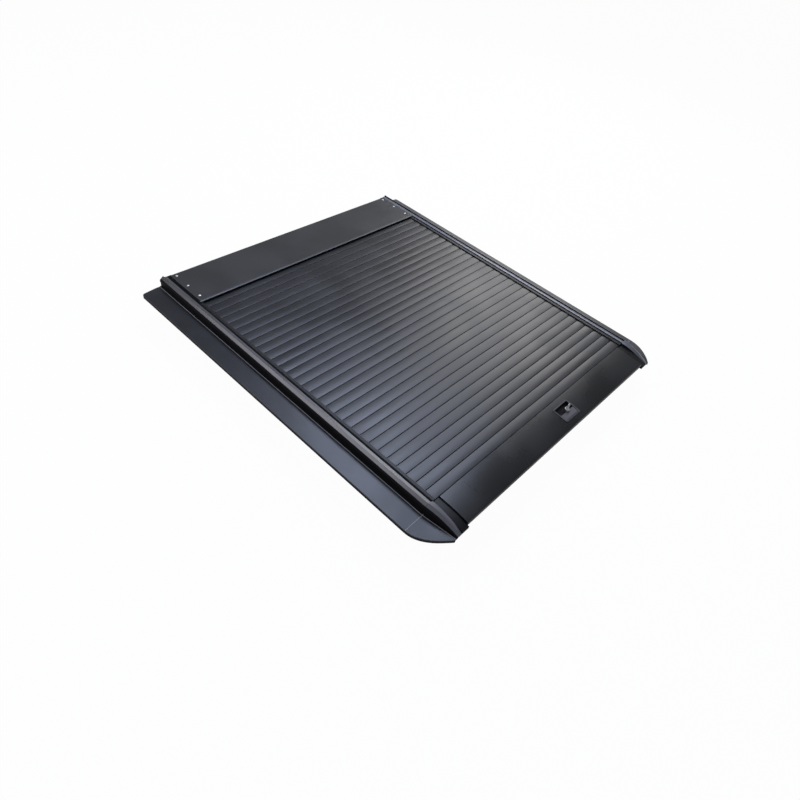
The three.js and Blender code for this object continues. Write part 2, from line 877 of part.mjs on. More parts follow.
// The pull paddle: a plate on a hinge barrel, notched round the lock's hub.
function addPaddle() {
  const reach = pocketInnerHalf - paddleSideGap;
  const top = -paddleDrop;
  const plate = box(-reach, reach, paddleAxisY, paddleEdgeY, top - paddleThickness, top);
  const barrelReach = pocketInnerHalf - pocketCorner;
  const barrel = barX(
    paddleBarrelRadius, -barrelReach, barrelReach, paddleAxisY, paddleAxisZ, smallSegments,
  );
  const pinReach = pocketInnerHalf + pocketWall - paddleSideGap;
  const pin = barX(paddlePinRadius, -pinReach, pinReach, paddleAxisY, paddleAxisZ, smallSegments);
  const notchRadius = hubRadius + paddleNotchGap;
  const notch = post(notchRadius, hubX, hubY, top - paddleThickness - cutOverrun, cutOverrun);
  add('pull_paddle', cut(join(plate, barrel, pin), notch), greyPlastic(), lockFrame);
}

const hubFoot = -pocketDepth + pocketFloor + turningClearance;
const camTop = -pocketDepth - camDrop;
const camFoot = camTop - camThickness;
const rodTop = camFoot - rodDrop;
const plugFoot = hubRise + plugRise - plugLength;

// The lock lever: a hub with a shaft through the pocket's floor and an arm over the pocket.
function addLever() {
  const hub = post(hubRadius, hubX, hubY, hubFoot, hubRise);
  const shaft = post(shaftRadius, hubX, hubY, camFoot, hubFoot);
  const arm = outline([
    [0, -leverWidth / 2],
    [leverLength - leverTipWidth / 2, -leverTipWidth / 2],
    [leverLength, -leverTipWidth / 4],
    [leverLength, leverTipWidth / 4],
    [leverLength - leverTipWidth / 2, leverTipWidth / 2],
    [0, leverWidth / 2],
  ]);
  const lever = upright(arm, leverLift, leverLift + leverThickness);
  lever.rotateZ(leverSkew);
  lever.translate(hubX, hubY, 0);
  const collar = post(hubRadius, hubX, hubY, hubFoot, leverLift + leverThickness);
  const bore = post(plugRadius + turningClearance, hubX, hubY, plugFoot - turningClearance, 2 * cutOverrun);
  const body = toSolid(hub).add(toSolid(shaft)).add(toSolid(lever)).add(toSolid(collar));
  add('lock_lever', toGeometry(body.subtract(toSolid(bore))), brightMetal(), lockFrame);
}

function addKeyPlug() {
  const top = leverLift + leverThickness + plugRise;
  const plug = post(plugRadius, hubX, hubY, plugFoot, top);
  const slot = box(
    hubX - keySlotLength / 2, hubX + keySlotLength / 2,
    hubY - keySlotWidth / 2, hubY + keySlotWidth / 2,
    top - keySlotDepth, top + cutOverrun,
  );
  add('key_plug', cut(plug, slot), plainSteel(), lockFrame);
}

// The cam's two pins stand a quarter turn before their middle places.
const pinOffset = crankRadius * Math.SQRT1_2;

function addCam() {
  const disc = post(camRadius, hubX, hubY, camFoot, camTop);
  const foot = rodTop - rodThickness;
  const pins = [-1, 1].map((way) => post(
    drivePinRadius, hubX + way * pinOffset, hubY + way * pinOffset, foot, camTop - camThickness / 2, smallSegments,
  ));
  const bore = post(shaftRadius + turningClearance, hubX, hubY, camFoot - cutOverrun, camTop + cutOverrun);
  add('lock_cam', cut(join(disc, ...pins), bore), plainSteel(), lockFrame);
}

// Each rod runs from its drive slot under the cam to the bullnose's end.
const rodY = (crankRadius + pinOffset) / 2;

function rodBody(side) {
  const tip = side * (half - bullnoseInset - rodTipSetback) - lockX;
  const slotX = hubX - side * pinOffset;
  const heel = slotX - side * rodWidth / 2;
  const y = hubY - side * rodY;
  const shape = outline([
    [heel, y - rodWidth / 2],
    [tip - side * rodTipTaper, y - rodWidth / 2],
    [tip, y - rodWidth / 2 + rodTipTaper],
    [tip, y + rodWidth / 2 - rodTipTaper],
    [tip - side * rodTipTaper, y + rodWidth / 2],
    [heel, y + rodWidth / 2],
  ]);
  const play = drivePinRadius + drivePinPlay;
  const slotLow = y - (crankRadius - pinOffset) / 2 - play;
  const slotHigh = y + (crankRadius - pinOffset) / 2 + play;
  const slot = box(slotX - play, slotX + play, slotLow, slotHigh, rodTop - 2 * rodThickness, rodTop + rodThickness);
  return cut(upright(shape, rodTop - rodThickness, rodTop), slot);
}

function addRods() {
  for (const [side, word] of sides) {
    add(`lock_rod_${word}`, rodBody(side), plainSteel(), lockFrame);
  }
}

// The hole in each end cap that a rod's tip enters.
function strikeTool(side) {
  const mouth = side * (half - capInset - cutOverrun) - lockX;
  const end = side * (half - capInset + rodEngagement) - lockX;
  const y = hubY - side * rodY;
  const reach = rodWidth / 2 + strikeClearance;
  return fromLockFrame(box(
    Math.min(mouth, end), Math.max(mouth, end),
    y - reach, y + reach,
    rodTop - rodThickness - strikeClearance, rodTop + strikeClearance,
  ));
}

addRails();
addFlanges();
addEndCaps({ left: strikeTool(-1), right: strikeTool(1) });
addTrough();
addCanisterEnds();
addLidBars();
addLid();
addRivets();
addAxle();
addDrum();
addLeader();
addSlats();
addBullnose();
addPocket();
addPaddle();
addLever();
addKeyPlug();
addCam();
addRods();
cover.add(lockFrame);

const seatMiddle = (footEdge - floorReach) / 2;
cover.position.set(half + seatMiddle, -(tailSeamY + railRearY) / 2, railDepth);

const model = new THREE.Group();
model.add(cover);

export default model;
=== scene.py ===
import json
import math

import bpy
from bpy.props import FloatProperty, FloatVectorProperty, IntProperty, PointerProperty
from bpy.types import Operator, Panel, PropertyGroup
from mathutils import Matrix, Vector


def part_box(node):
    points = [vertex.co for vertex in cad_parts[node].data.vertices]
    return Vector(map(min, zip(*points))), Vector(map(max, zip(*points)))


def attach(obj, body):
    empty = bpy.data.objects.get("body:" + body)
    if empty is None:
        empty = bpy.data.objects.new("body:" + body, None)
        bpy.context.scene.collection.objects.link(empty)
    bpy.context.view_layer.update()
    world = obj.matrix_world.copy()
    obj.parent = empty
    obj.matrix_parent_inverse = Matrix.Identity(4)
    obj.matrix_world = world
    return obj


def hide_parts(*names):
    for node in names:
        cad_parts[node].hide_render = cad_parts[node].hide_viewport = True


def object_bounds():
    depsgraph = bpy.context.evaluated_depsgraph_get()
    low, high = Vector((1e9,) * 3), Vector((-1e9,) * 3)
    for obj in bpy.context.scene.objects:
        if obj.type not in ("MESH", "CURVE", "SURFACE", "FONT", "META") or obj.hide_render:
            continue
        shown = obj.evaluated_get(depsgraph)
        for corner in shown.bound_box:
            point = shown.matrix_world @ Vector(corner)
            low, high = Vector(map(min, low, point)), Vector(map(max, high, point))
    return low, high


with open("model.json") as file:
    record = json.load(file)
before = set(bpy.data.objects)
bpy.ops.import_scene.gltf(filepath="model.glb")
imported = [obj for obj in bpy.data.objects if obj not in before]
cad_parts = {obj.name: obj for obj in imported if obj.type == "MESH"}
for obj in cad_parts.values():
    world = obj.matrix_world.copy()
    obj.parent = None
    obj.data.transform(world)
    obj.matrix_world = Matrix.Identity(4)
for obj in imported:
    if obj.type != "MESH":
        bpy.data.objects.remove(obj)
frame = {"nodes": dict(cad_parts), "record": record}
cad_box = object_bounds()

bl_info = {
    "name": "Retractable Bed Cover",
    "version": (1, 0, 0),
    "blender": (4, 5, 0),
    "location": "View3D > Sidebar > Bed Cover",
    "description": "Finishes the parts of a roller-shutter bed cover and lights them on a pale floor",
    "category": "Object",
}

SIDES = ("left", "right")
RIVET_ROWS = ("front", "middle", "rear")
NODE_BODY = {
    node: body
    for body, members in frame["record"]["behaviour"]["bodies"].items()
    for node in members
}
SLATS = sorted(node for node in NODE_BODY if node.startswith("slat_"))

MERGE_DISTANCE = 1e-6
FLAT_ANGLE = math.radians(0.4)
SHARP_ANGLE = math.radians(28)
SMOOTH_ANGLE = math.radians(35)

# How a face lies: the share of its normal along an axis
UPRIGHT_SHARE = 0.3
LEVEL_SHARE = 0.95

# Plain shares, and the scale at which a texture's patches are a metre wide
HALF_SHARE = 0.5
FULL_SHARE = 1
UNIT_SCALE = 1

# The ways across the cover, along it and up
ACROSS = (1, 0, 0)
ALONG = (0, 1, 0)
UP = (0, 0, 1)

# The noises of the shader groups: their detail, and their sizes and heights as shares of the main ones
PATCH_DETAIL = 2
GRAIN_DETAIL = 3
NOISE_ROUGHNESS = 0.55
PATCH_LOW_SHARE = 0.3
PATCH_HIGH_SHARE = 0.7
COARSE_GRAIN_SHARE = 3.2
COARSE_HEIGHT_SHARE = 0.5
PEBBLE_FINE_SHARE = 0.6
YARN_GAP_SHARE = 0.08


# Settings

def colour_property(name, description, default):
    return FloatVectorProperty(
        name=name, description=description, subtype="COLOR", size=3, min=0, max=1, default=default,
    )


def length_property(name, description, default):
    return FloatProperty(name=name, description=description, min=0, default=default, unit="LENGTH")


def angle_property(name, description, degrees):
    return FloatProperty(
        name=name, description=description, default=math.radians(degrees), unit="ROTATION",
    )


def share_property(name, description, default):
    return FloatProperty(name=name, description=description, min=0, max=1, default=default)


class CoverColours(PropertyGroup):
    slat: colour_property("Slats", "Coat of the slats", (0.0125, 0.013, 0.016))
    # Painted highlight: a lighter strip along the slats' far edges, for the light caught by their rounded
    # edges
    rubbed: colour_property("Rubbed edge", "Coat along the slats' far edges", (0.17, 0.175, 0.19))
    bullnose: colour_property("Bullnose", "Coat of the front slat", (0.008, 0.0085, 0.0095))
    lid: colour_property("Lid", "Coat of the canister's lid", (0.018, 0.018, 0.0185))
    rail: colour_property("Rails", "Coat of the side rails", (0.018, 0.018, 0.022))
    # Painted light: both rails' level inner tops are one coat, given lighter tones than the rail coat, the
    # right one far lighter than the left, for how the light falls on each
    inner_left: colour_property("Left inner top", "Coat of the left rail's top", (0.055, 0.055, 0.066))
    inner_right: colour_property("Right inner top", "Coat of the right rail's top", (0.17, 0.17, 0.195))
    # Painted shade: a near-black tone for upright and turned-away faces, standing for the shade that falls
    # on them
    side: colour_property("Sides", "Coat of the upright faces", (0.0025, 0.0026, 0.0035))
    canister: colour_property("Canister", "Coat of the trough and end plates", (0.012, 0.012, 0.013))
    flange: colour_property("Flanges", "Plastic of the flanges", (0.013, 0.0135, 0.017))
    # Painted shade: the ledges beside the rails' inner walls are given a darker tone than the rail coat,
    # for the shade that falls there
    ledge: colour_property("Ledges", "Coat of the ledges over the slats' ends", (0.010, 0.010, 0.012))
    # Painted highlight: a lighter tone on the beads' slanted faces and on the joint strips, for the light
    # caught by their edges
    bead: colour_property("Beads", "Rubbed edge of the flanges' beads", (0.17, 0.173, 0.20))
    cap: colour_property("End caps", "Plastic of the rails' end caps", (0.085, 0.086, 0.098))
    # Painted shade: the caps' inner shelves are the caps' plastic given a near-black tone, for the shade
    # that falls there
    shelf: colour_property("Shelves", "Plastic of the end caps' inner shelves", (0.005, 0.005, 0.006))
    rubber: colour_property("Rubber", "Rubber of the seals and bumpers", (0.004, 0.004, 0.0045))
    # Painted shade: the pocket's inside is given a near-black tone for the shade in the recess, under the
    # lighter rim
    pocket: colour_property("Lock pocket", "Plastic of the lock's pocket", (0.006, 0.006, 0.0065))
    bezel: colour_property("Bezel", "Plastic of the pocket's rim", (0.055, 0.054, 0.060))
    paddle: colour_property("Paddle", "Plastic of the pull paddle", (0.095, 0.092, 0.102))
    chrome: colour_property("Bright metal", "Plated lever and key plug", (0.82, 0.83, 0.85))
    rivet: colour_property("Rivets", "Aluminium of the rivets", (0.78, 0.79, 0.81))
    steel: colour_property("Steel", "Plated steel of the axle, cam and rods", (0.42, 0.43, 0.45))
    aluminium: colour_property("Aluminium", "Bare aluminium of the drum", (0.52, 0.53, 0.55))
    web_dark: colour_property("Webbing", "Darker yarn of the webbing", (0.010, 0.010, 0.011))
    web_light: colour_property("Webbing light", "Lighter yarn of the webbing", (0.023, 0.023, 0.025))


class CoverFinish(PropertyGroup):
    slat_roughness: share_property("Slat roughness", "Roughness of the slats' coat", 0.34)
    bullnose_roughness: share_property("Bullnose roughness", "Roughness of the bullnose", 0.28)
    lid_roughness: share_property("Lid roughness", "Roughness of the lid's coat", 0.40)
    rail_roughness: share_property("Rail roughness", "Roughness of the rails' coat", 0.28)
    side_roughness: share_property("Side roughness", "Roughness of the upright faces", 0.70)
    plastic_roughness: share_property("Plastic roughness", "Roughness of the moulded plastic", 0.38)
    rubber_roughness: share_property("Rubber roughness", "Roughness of the rubber", 0.80)
    steel_roughness: share_property("Steel roughness", "Roughness of the plated steel", 0.36)
    aluminium_roughness: share_property("Aluminium roughness", "Roughness of the drum", 0.34)
    rivet_roughness: share_property("Rivet roughness", "Roughness of the rivets", 0.45)
    chrome_roughness: share_property("Chrome roughness", "Roughness of the bright metal", 0.14)
    web_roughness: share_property("Webbing roughness", "Roughness of the webbing", 0.85)
    coat_gloss: share_property("Coat gloss", "Specular level of coats and plastics", 0.5)
    rail_gloss: share_property("Rail gloss", "Specular level of the rails' coat", 1.0)
    ledge_gloss: share_property("Ledge gloss", "Specular level of ledges and shelves", 0.25)
    side_gloss: share_property("Side gloss", "Specular level of the upright faces", 0.1)
    rubber_gloss: share_property("Rubber gloss", "Specular level of the rubber", 0.12)
    tone_spread: share_property("Tone spread", "How far a coat's tone strays", 0.16)
    slat_spread: share_property("Slat spread", "How far the slats differ from each other", 0.20)
    roughness_spread: share_property("Roughness spread", "How far a roughness strays", 0.04)
    coat_grain: length_property("Coat grain", "Size of the powder coat's grain", 0.0011)
    coat_depth: length_property("Coat depth", "Depth of the powder coat's grain", 0.00003)
    pebble_size: length_property("Pebble size", "Size of the plastic's moulded grain", 0.0016)
    pebble_depth: length_property("Pebble depth", "Depth of the plastic's grain", 0.00005)
    patch_size: length_property("Patch size", "Size of the coat's broad patches", 0.22)
    plating_patch: length_property("Plating patch", "Size of the patches in the plating's gloss", 0.012)
    # Width of the painted highlight along the slats' far edges
    painted_highlight_width: length_property("Rubbed width", "Width of the lighter far edge", 0.0014)
    line_width: length_property("Line width", "Width of the drawn metal's lines", 0.0004)
    line_length: length_property("Line length", "Length of the drawn metal's lines", 0.06)
    line_depth: length_property("Line depth", "Depth of the drawn metal's lines", 0.00001)
    yarn_width: length_property("Yarn width", "Width of one yarn of the webbing", 0.0016)
    yarn_depth: length_property("Yarn depth", "Depth of the webbing's weave", 0.0003)


class EdgeSizes(PropertyGroup):
    slat: length_property("Slat edges", "Rounding of the slats' edges", 0.00018)
    rail: length_property("Rail edges", "Rounding of the rails' edges", 0.0004)
    flange: length_property("Flange edges", "Rounding of the flanges' edges", 0.0005)
    cap: length_property("Cap edges", "Rounding of the end caps' edges", 0.0007)
    canister: length_property("Canister edges", "Rounding of the canister's edges", 0.0004)
    lid: length_property("Lid edges", "Rounding of the lid's edges", 0.0004)
    bullnose: length_property("Bullnose edges", "Rounding of the bullnose's edges", 0.0005)
    pocket: length_property("Pocket edges", "Rounding of the lock pocket's edges", 0.0004)
    bezel_depth: length_property("Bezel depth", "How deep the pocket's slanted rim reaches", 0.0095)
    paddle: length_property("Paddle edges", "Rounding of the paddle's edges", 0.0005)
    lever: length_property("Lever edges", "Rounding of the lever's edges", 0.0013)
    drive: length_property("Drive edges", "Rounding of the cam's and rods' edges", 0.0002)
    steps: IntProperty(name="Steps", description="Steps in each rounding", min=1, default=3)
    nose_cuts: IntProperty(name="Nose cuts", description="Stretches of the bullnose", min=1, default=32)
    # Painted shade: below this crown, the rail's faces beyond its crest take the near-black coat
    rail_crown: length_property("Rail crown", "Height of the rail's lit crown over its dull sides", 0.0087)
    crest_reach: length_property("Crest reach", "From the rail's inner edge to its crest", 0.0355)
    # Painted shade: beyond a line from the first reach at the cap's rear to the second at its tip, the
    # cap's outer side takes the near-black coat
    cap_dull_start: length_property("Cap dull start", "From a cap's inner edge to its dull side", 0.0648)
    cap_dull_end: length_property("Cap dull end", "The same at the cap's tip", 0.0507)
    joint_width: length_property("Joint width", "Width of the strip over the flange's joint", 0.0034)
    joint_height: length_property("Joint height", "Height of the strip over the flange's joint", 0.0010)
    ledge_width: length_property("Ledge width", "Width of the ledge along the rail's inner edge", 0.0130)
    shelf_width: length_property("Shelf width", "Width of the end cap's inner shelf", 0.0305)
    bead_height: length_property("Bead height", "Height of the flange's bead", 0.0016)
    slat_skin: length_property("Slat skin", "Depth of the slat's top that is bowed", 0.0030)
    slat_bow: length_property("Slat bow", "How far a slat's edges bow down", 0.0007)
    # Painted shade: slat faces turned towards the tail more steeply than this take the near-black coat
    slat_turn: share_property("Slat turn", "Level share of a slat's face below which it is dull", 0.93)


class RivetSizes(PropertyGroup):
    dome: length_property("Dome", "Rounding of the rivet's head", 0.0016)
    cup_radius: length_property("Cup radius", "Radius of the mandrel's cup", 0.0015)
    cup_depth: length_property("Cup depth", "Depth of the mandrel's cup", 0.0007)
    shank_radius: length_property("Shank radius", "Radius of the rivet's shank", 0.0024)
    sides: IntProperty(name="Sides", description="Sides of the rivet's round", min=8, default=40)
    dome_steps: IntProperty(name="Dome steps", description="Steps in the dome", min=1, default=6)


class SealSizes(PropertyGroup):
    setback: length_property("Setback", "From the rail's inner edge to its seal", 0.0129)
    width: length_property("Width", "Width of the rail's seal", 0.0084)
    drop: length_property("Drop", "From the rail's top to the seal's underside", 0.00975)
    height: length_property("Height", "Height of the seal's foot", 0.0007)
    lip_margin: length_property("Lip margin", "Foot that shows beside the seal's lip", 0.0011)
    lip_height: length_property("Lip height", "Height of the lip over the foot", 0.0006)
    rounding: length_property("Rounding", "Rounding of the seal's edges", 0.0002)
    bumper_width: length_property("Bumper width", "Rubber between end cap and bullnose", 0.0042)


class StageSettings(PropertyGroup):
    lens: FloatProperty(name="Lens", description="Camera lens in millimetres", default=27.82)
    sensor: FloatProperty(name="Sensor", description="Sensor width in millimetres", default=36)
    camera_place: FloatVectorProperty(
        name="Camera place", description="Where the camera stands", subtype="TRANSLATION", size=3,
        default=(-1.078907, -1.323728, 1.677523),
    )
    camera_turn: FloatVectorProperty(
        name="Camera turn", description="How the camera is turned", subtype="EULER", size=3,
        default=(math.radians(44.6836), math.radians(-8.4339), math.radians(-46.6176)),
    )
    clip_end: length_property("View limit", "How far the camera sees", 120)
    floor_size: length_property("Floor size", "Length of the floor's sides", 60)
    floor_gap: length_property("Floor gap", "Gap between the floor and the canister", 0.0002)
    floor_colour: colour_property("Floor", "Colour of the floor", (0.80, 0.80, 0.80))
    floor_glow: share_property("Floor glow", "How much of the floor's white is its own", 0.97)
    room_colour: colour_property("Room", "Colour of the light all round", (0.97, 0.98, 1.0))
    wall_strength: FloatProperty(name="Walls", description="Light from low all round", default=1.0)
    ceiling_strength: FloatProperty(name="Ceiling", description="Light from above", default=0.20)
    wall_top: angle_property("Wall top", "Height angle at which the walls start to dim", 16)
    ceiling_start: angle_property("Ceiling start", "Height angle at which the ceiling starts", 26)
    front_bearing: angle_property("Front bearing", "Way to the front lamp, from +X", 21)
    front_height: angle_property("Front height", "Height angle of the front lamp", 32)
    front_distance: length_property("Front distance", "Distance of the front lamp", 5.0)
    front_width: length_property("Front width", "Width of the front lamp", 2.1)
    front_rise: length_property("Front rise", "Height of the front lamp's panel", 2.2)
    front_power: FloatProperty(name="Front power", description="Front lamp in watts", default=54)
    front_colour: colour_property("Front colour", "Colour of the front lamp", (1.0, 0.99, 0.98))
    high_bearing: angle_property("High bearing", "Way to the high lamp, from +X", 43)
    high_height: angle_property("High height", "Height angle of the high lamp", 66)
    high_distance: length_property("High distance", "Distance of the high lamp", 5.0)
    high_width: length_property("High width", "Width of the high lamp", 2.4)
    high_rise: length_property("High rise", "Height of the high lamp's panel", 2.2)
    high_power: FloatProperty(name="High power", description="High lamp in watts", default=155)
    high_colour: colour_property("High colour", "Colour of the high lamp", (0.66, 0.75, 1.0))
    side_bearing: angle_property("Side bearing", "Way to the side lamp, from +X", 149)
    side_height: angle_property("Side height", "Height angle of the side lamp", 37)
    side_distance: length_property("Side distance", "Distance of the side lamp", 4.2)
    side_width: length_property("Side width", "Width of the side lamp", 2.6)
    side_rise: length_property("Side rise", "Height of the side lamp's panel", 1.8)
    side_power: FloatProperty(name="Side power", description="Side lamp in watts", default=42)
    side_colour: colour_property("Side colour", "Colour of the side lamp", (0.91, 0.89, 1.0))


def colours():
    return bpy.context.scene.cover_colours


def finish():
    return bpy.context.scene.cover_finish


def edges():
    return bpy.context.scene.cover_edges


def inward(side):
    """The way along X from a side towards the middle."""
    return 1 if side == "left" else -1


# Selecting and shaping

def clear_selection():
    if bpy.context.object and bpy.context.object.mode != "OBJECT":
        bpy.ops.object.mode_set(mode="OBJECT")
    bpy.ops.object.select_all(action="DESELECT")


def activate(piece):
    clear_selection()
    piece.select_set(True)
    bpy.context.view_layer.objects.active = piece


def enter_edit(piece, kind):
    activate(piece)
    bpy.ops.object.mode_set(mode="EDIT")
    bpy.ops.mesh.select_mode(type=kind)


def leave_edit():
    bpy.ops.object.mode_set(mode="OBJECT")


def pick_faces(piece, wanted):
    """Selects the faces whose middle and normal pass the test, in edit mode."""
    enter_edit(piece, "FACE")
    bpy.ops.mesh.select_all(action="DESELECT")
    leave_edit()
    for face in piece.data.polygons:
        face.select = wanted(face.center, face.normal)
    enter_edit(piece, "FACE")


def merged_copy(node, name):
    """A copy of a CAD node's mesh with its points merged and its flat faces joined."""
    source = frame["nodes"][node]
    mesh = source.data.copy()
    mesh.name = name
    mesh.materials.clear()
    piece = bpy.data.objects.new(name, mesh)
    bpy.context.scene.collection.objects.link(piece)
    activate(piece)
    bpy.ops.mesh.customdata_custom_splitnormals_clear()
    enter_edit(piece, "VERT")
    bpy.ops.mesh.select_all(action="SELECT")
    bpy.ops.mesh.remove_doubles(threshold=MERGE_DISTANCE)
    bpy.ops.mesh.dissolve_limited(angle_limit=FLAT_ANGLE)
    leave_edit()
    return piece


def round_edges(piece, width, steps):
    """Rounds every sharp edge of the piece."""
    enter_edit(piece, "EDGE")
    bpy.ops.mesh.select_all(action="DESELECT")
    bpy.ops.mesh.edges_select_sharp(sharpness=SHARP_ANGLE)
    bpy.ops.mesh.bevel(offset=width, segments=steps, affect="EDGES", clamp_overlap=True)
    leave_edit()


def paint_faces(piece, material, wanted):
    """Gives a further material to the faces whose middle and normal pass the test."""
    piece.data.materials.append(material)
    pick_faces(piece, wanted)
    piece.active_material_index = piece.data.materials.find(material.name)
    bpy.ops.object.material_slot_assign()
    leave_edit()


def upright(centre, normal):
    return abs(normal.z) < UPRIGHT_SHARE


def lies_level(centre, normal):
    return normal.z > LEVEL_SHARE


def slanted(centre, normal):
    return UPRIGHT_SHARE < normal.z < LEVEL_SHARE


def inner_distance(node):
    """A measure of how far a place lies outwards from the node's inner edge."""
    low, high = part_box(node)
    if node.endswith("left"):
        return lambda place: high.x - place.x
    return lambda place: place.x - low.x


def delete_faces(piece, wanted):
    pick_faces(piece, wanted)
    bpy.ops.mesh.delete(type="FACE")
    leave_edit()


def raise_faces(height):
    """Moves the selected faces up, or down with a height below zero, and walls the step."""
    bpy.ops.mesh.extrude_region_move(TRANSFORM_OT_translate={"value": (0, 0, height)})
    leave_edit()


def cut_faces(piece, place, way, clear=False):
    """Cuts the piece along the plane through a place, and clears the side before it if asked."""
    enter_edit(piece, "FACE")
    bpy.ops.mesh.select_all(action="SELECT")
    bpy.ops.mesh.bisect(plane_co=place, plane_no=way, clear_inner=clear)
    leave_edit()


def even_shading(piece):
    activate(piece)
    bpy.ops.object.shade_smooth_by_angle(angle=SMOOTH_ANGLE)
    bpy.ops.object.modifier_add(type="WEIGHTED_NORMAL")
    piece.modifiers[-1].keep_sharp = True
    bpy.ops.object.modifier_apply(modifier=piece.modifiers[-1].name)


def thicken(piece, thickness, rounding):
    """Gives open faces a thickness on their outer side, and rounds the edges."""
    activate(piece)
    bpy.ops.object.modifier_add(type="SOLIDIFY")
    piece.modifiers[-1].thickness = thickness
    piece.modifiers[-1].offset = 1
    bpy.ops.object.modifier_apply(modifier=piece.modifiers[-1].name)
    round_edges(piece, rounding, edges().steps)
    even_shading(piece)


def stand_for(piece, node):
    """Gives the piece the CAD node's body, and lets it stand for the node."""
    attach(piece, NODE_BODY[node])
    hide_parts(node)


def put_in_place(piece, node, material):
    """Gives the piece its one material, and lets it stand for the CAD node."""
    piece.data.materials.clear()
    piece.data.materials.append(material)
    stand_for(piece, node)
    clear_selection()
    return piece


def repeat_piece(first, nodes):
    """The piece stands for the first node: sets a copy of it at each further node's place."""
    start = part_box(nodes[0])[0]
    for node in nodes[1:]:
        mesh = first.data.copy()
        mesh.name = f"{node}_finished"
        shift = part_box(node)[0] - start
        for point in mesh.vertices:
            point.co += shift
        piece = bpy.data.objects.new(mesh.name, mesh)
        bpy.context.scene.collection.objects.link(piece)
        stand_for(piece, node)


def cut_across(piece, count):
    """Cuts the piece's faces along evenly spaced planes across X, so that long faces shade evenly."""
    start = min(point.co.x for point in piece.data.vertices)
    stretch = piece.dimensions.x / count
    for number in range(count):
        if number:
            cut_faces(piece, (start + stretch * number, 0, 0), ACROSS)


def bow_top(piece, pitch, depth, drop):
    """Lowers a slat's top towards its two edges, so that it stands more domed."""
    top = max(point.co.z for point in piece.data.vertices)
    half = pitch * HALF_SHARE
    middle = min(point.co.y for point in piece.data.vertices) + half
    for point in piece.data.vertices:
        if point.co.z > top - depth:
            edge_share = (point.co.y - middle) / half
            point.co.z -= drop * edge_share * edge_share


def finished_copy(node, width, material, reshape=None):
    """A copy of a CAD node with rounded edges, cut or bent further where its looks need it."""
    piece = merged_copy(node, f"{node}_finished")
    if width:
        round_edges(piece, width, edges().steps)
    if reshape:
        reshape(piece)
    even_shading(piece)
    return put_in_place(piece, node, material)


def add_trim(piece, body, material):
    """Gives a new piece that stands for no node its material and body."""
    piece.data.materials.clear()
    piece.data.materials.append(material)
    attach(piece, body)
    clear_selection()
    return piece


# Shader groups

def add_node(tree, kind, label="", **values):
    node = tree.nodes.new(kind)
    if label:
        node.label = label
    for name, value in values.items():
        setattr(node, name, value)
    return node


def group_tree(name, inputs, outputs):
    """An empty shader group with its named sockets, and its two end nodes."""
    tree = bpy.data.node_groups.new(name, "ShaderNodeTree")
    for way, sockets in (("INPUT", inputs), ("OUTPUT", outputs)):
        for socket, kind in sockets:
            tree.interface.new_socket(socket, in_out=way, socket_type=kind)
    start = tree.nodes.new("NodeGroupInput")
    end = tree.nodes.new("NodeGroupOutput")
    return tree, start, end


def calculate(tree, operation, first, second):
    """A math node on two sockets or numbers."""
    node = add_node(tree, "ShaderNodeMath", operation=operation)
    for place, value in enumerate((first, second)):
        if isinstance(value, bpy.types.NodeSocket):
            tree.links.new(value, node.inputs[place])
        else:
            node.inputs[place].default_value = value
    return node.outputs[0]


def scale_for(tree, size):
    """The scale at which a texture's patches are as wide as the size."""
    return calculate(tree, "DIVIDE", UNIT_SCALE, size)


def noise_by_size(tree, vector, size, detail):
    """A noise whose patches are about as wide as the size."""
    node = add_node(tree, "ShaderNodeTexNoise")
    node.inputs["Detail"].default_value = detail
    node.inputs["Roughness"].default_value = NOISE_ROUGHNESS
    tree.links.new(vector, node.inputs["Vector"])
    tree.links.new(scale_for(tree, size), node.inputs["Scale"])
    return node.outputs[0]


def cloud_group():
    """Broad patches between zero and one."""
    if "Broad Patches" in bpy.data.node_groups:
        return bpy.data.node_groups["Broad Patches"]
    tree, start, end = group_tree(
        "Broad Patches",
        (("Vector", "NodeSocketVector"), ("Size", "NodeSocketFloat")),
        (("Value", "NodeSocketFloat"),),
    )
    noise = noise_by_size(tree, start.outputs["Vector"], start.outputs["Size"], PATCH_DETAIL)
    span = add_node(tree, "ShaderNodeMapRange", interpolation_type="SMOOTHSTEP")
    span.inputs["From Min"].default_value = PATCH_LOW_SHARE
    span.inputs["From Max"].default_value = PATCH_HIGH_SHARE
    tree.links.new(noise, span.inputs["Value"])
    tree.links.new(span.outputs["Result"], end.inputs["Value"])
    return tree


def coat_group():
    """The fine orange peel of a powder coat, with a few coarser grains."""
    if "Powder Coat Grain" in bpy.data.node_groups:
        return bpy.data.node_groups["Powder Coat Grain"]
    tree, start, end = group_tree(
        "Powder Coat Grain",
        (("Vector", "NodeSocketVector"), ("Grain Size", "NodeSocketFloat")),
        (("Height", "NodeSocketFloat"), ("Tone", "NodeSocketFloat")),
    )
    fine = noise_by_size(tree, start.outputs["Vector"], start.outputs["Grain Size"], GRAIN_DETAIL)
    wide = calculate(tree, "MULTIPLY", start.outputs["Grain Size"], COARSE_GRAIN_SHARE)
    coarse = noise_by_size(tree, start.outputs["Vector"], wide, PATCH_DETAIL)
    height = calculate(tree, "ADD", fine, calculate(tree, "MULTIPLY", coarse, COARSE_HEIGHT_SHARE))
    tree.links.new(height, end.inputs["Height"])
    tree.links.new(coarse, end.inputs["Tone"])
    return tree


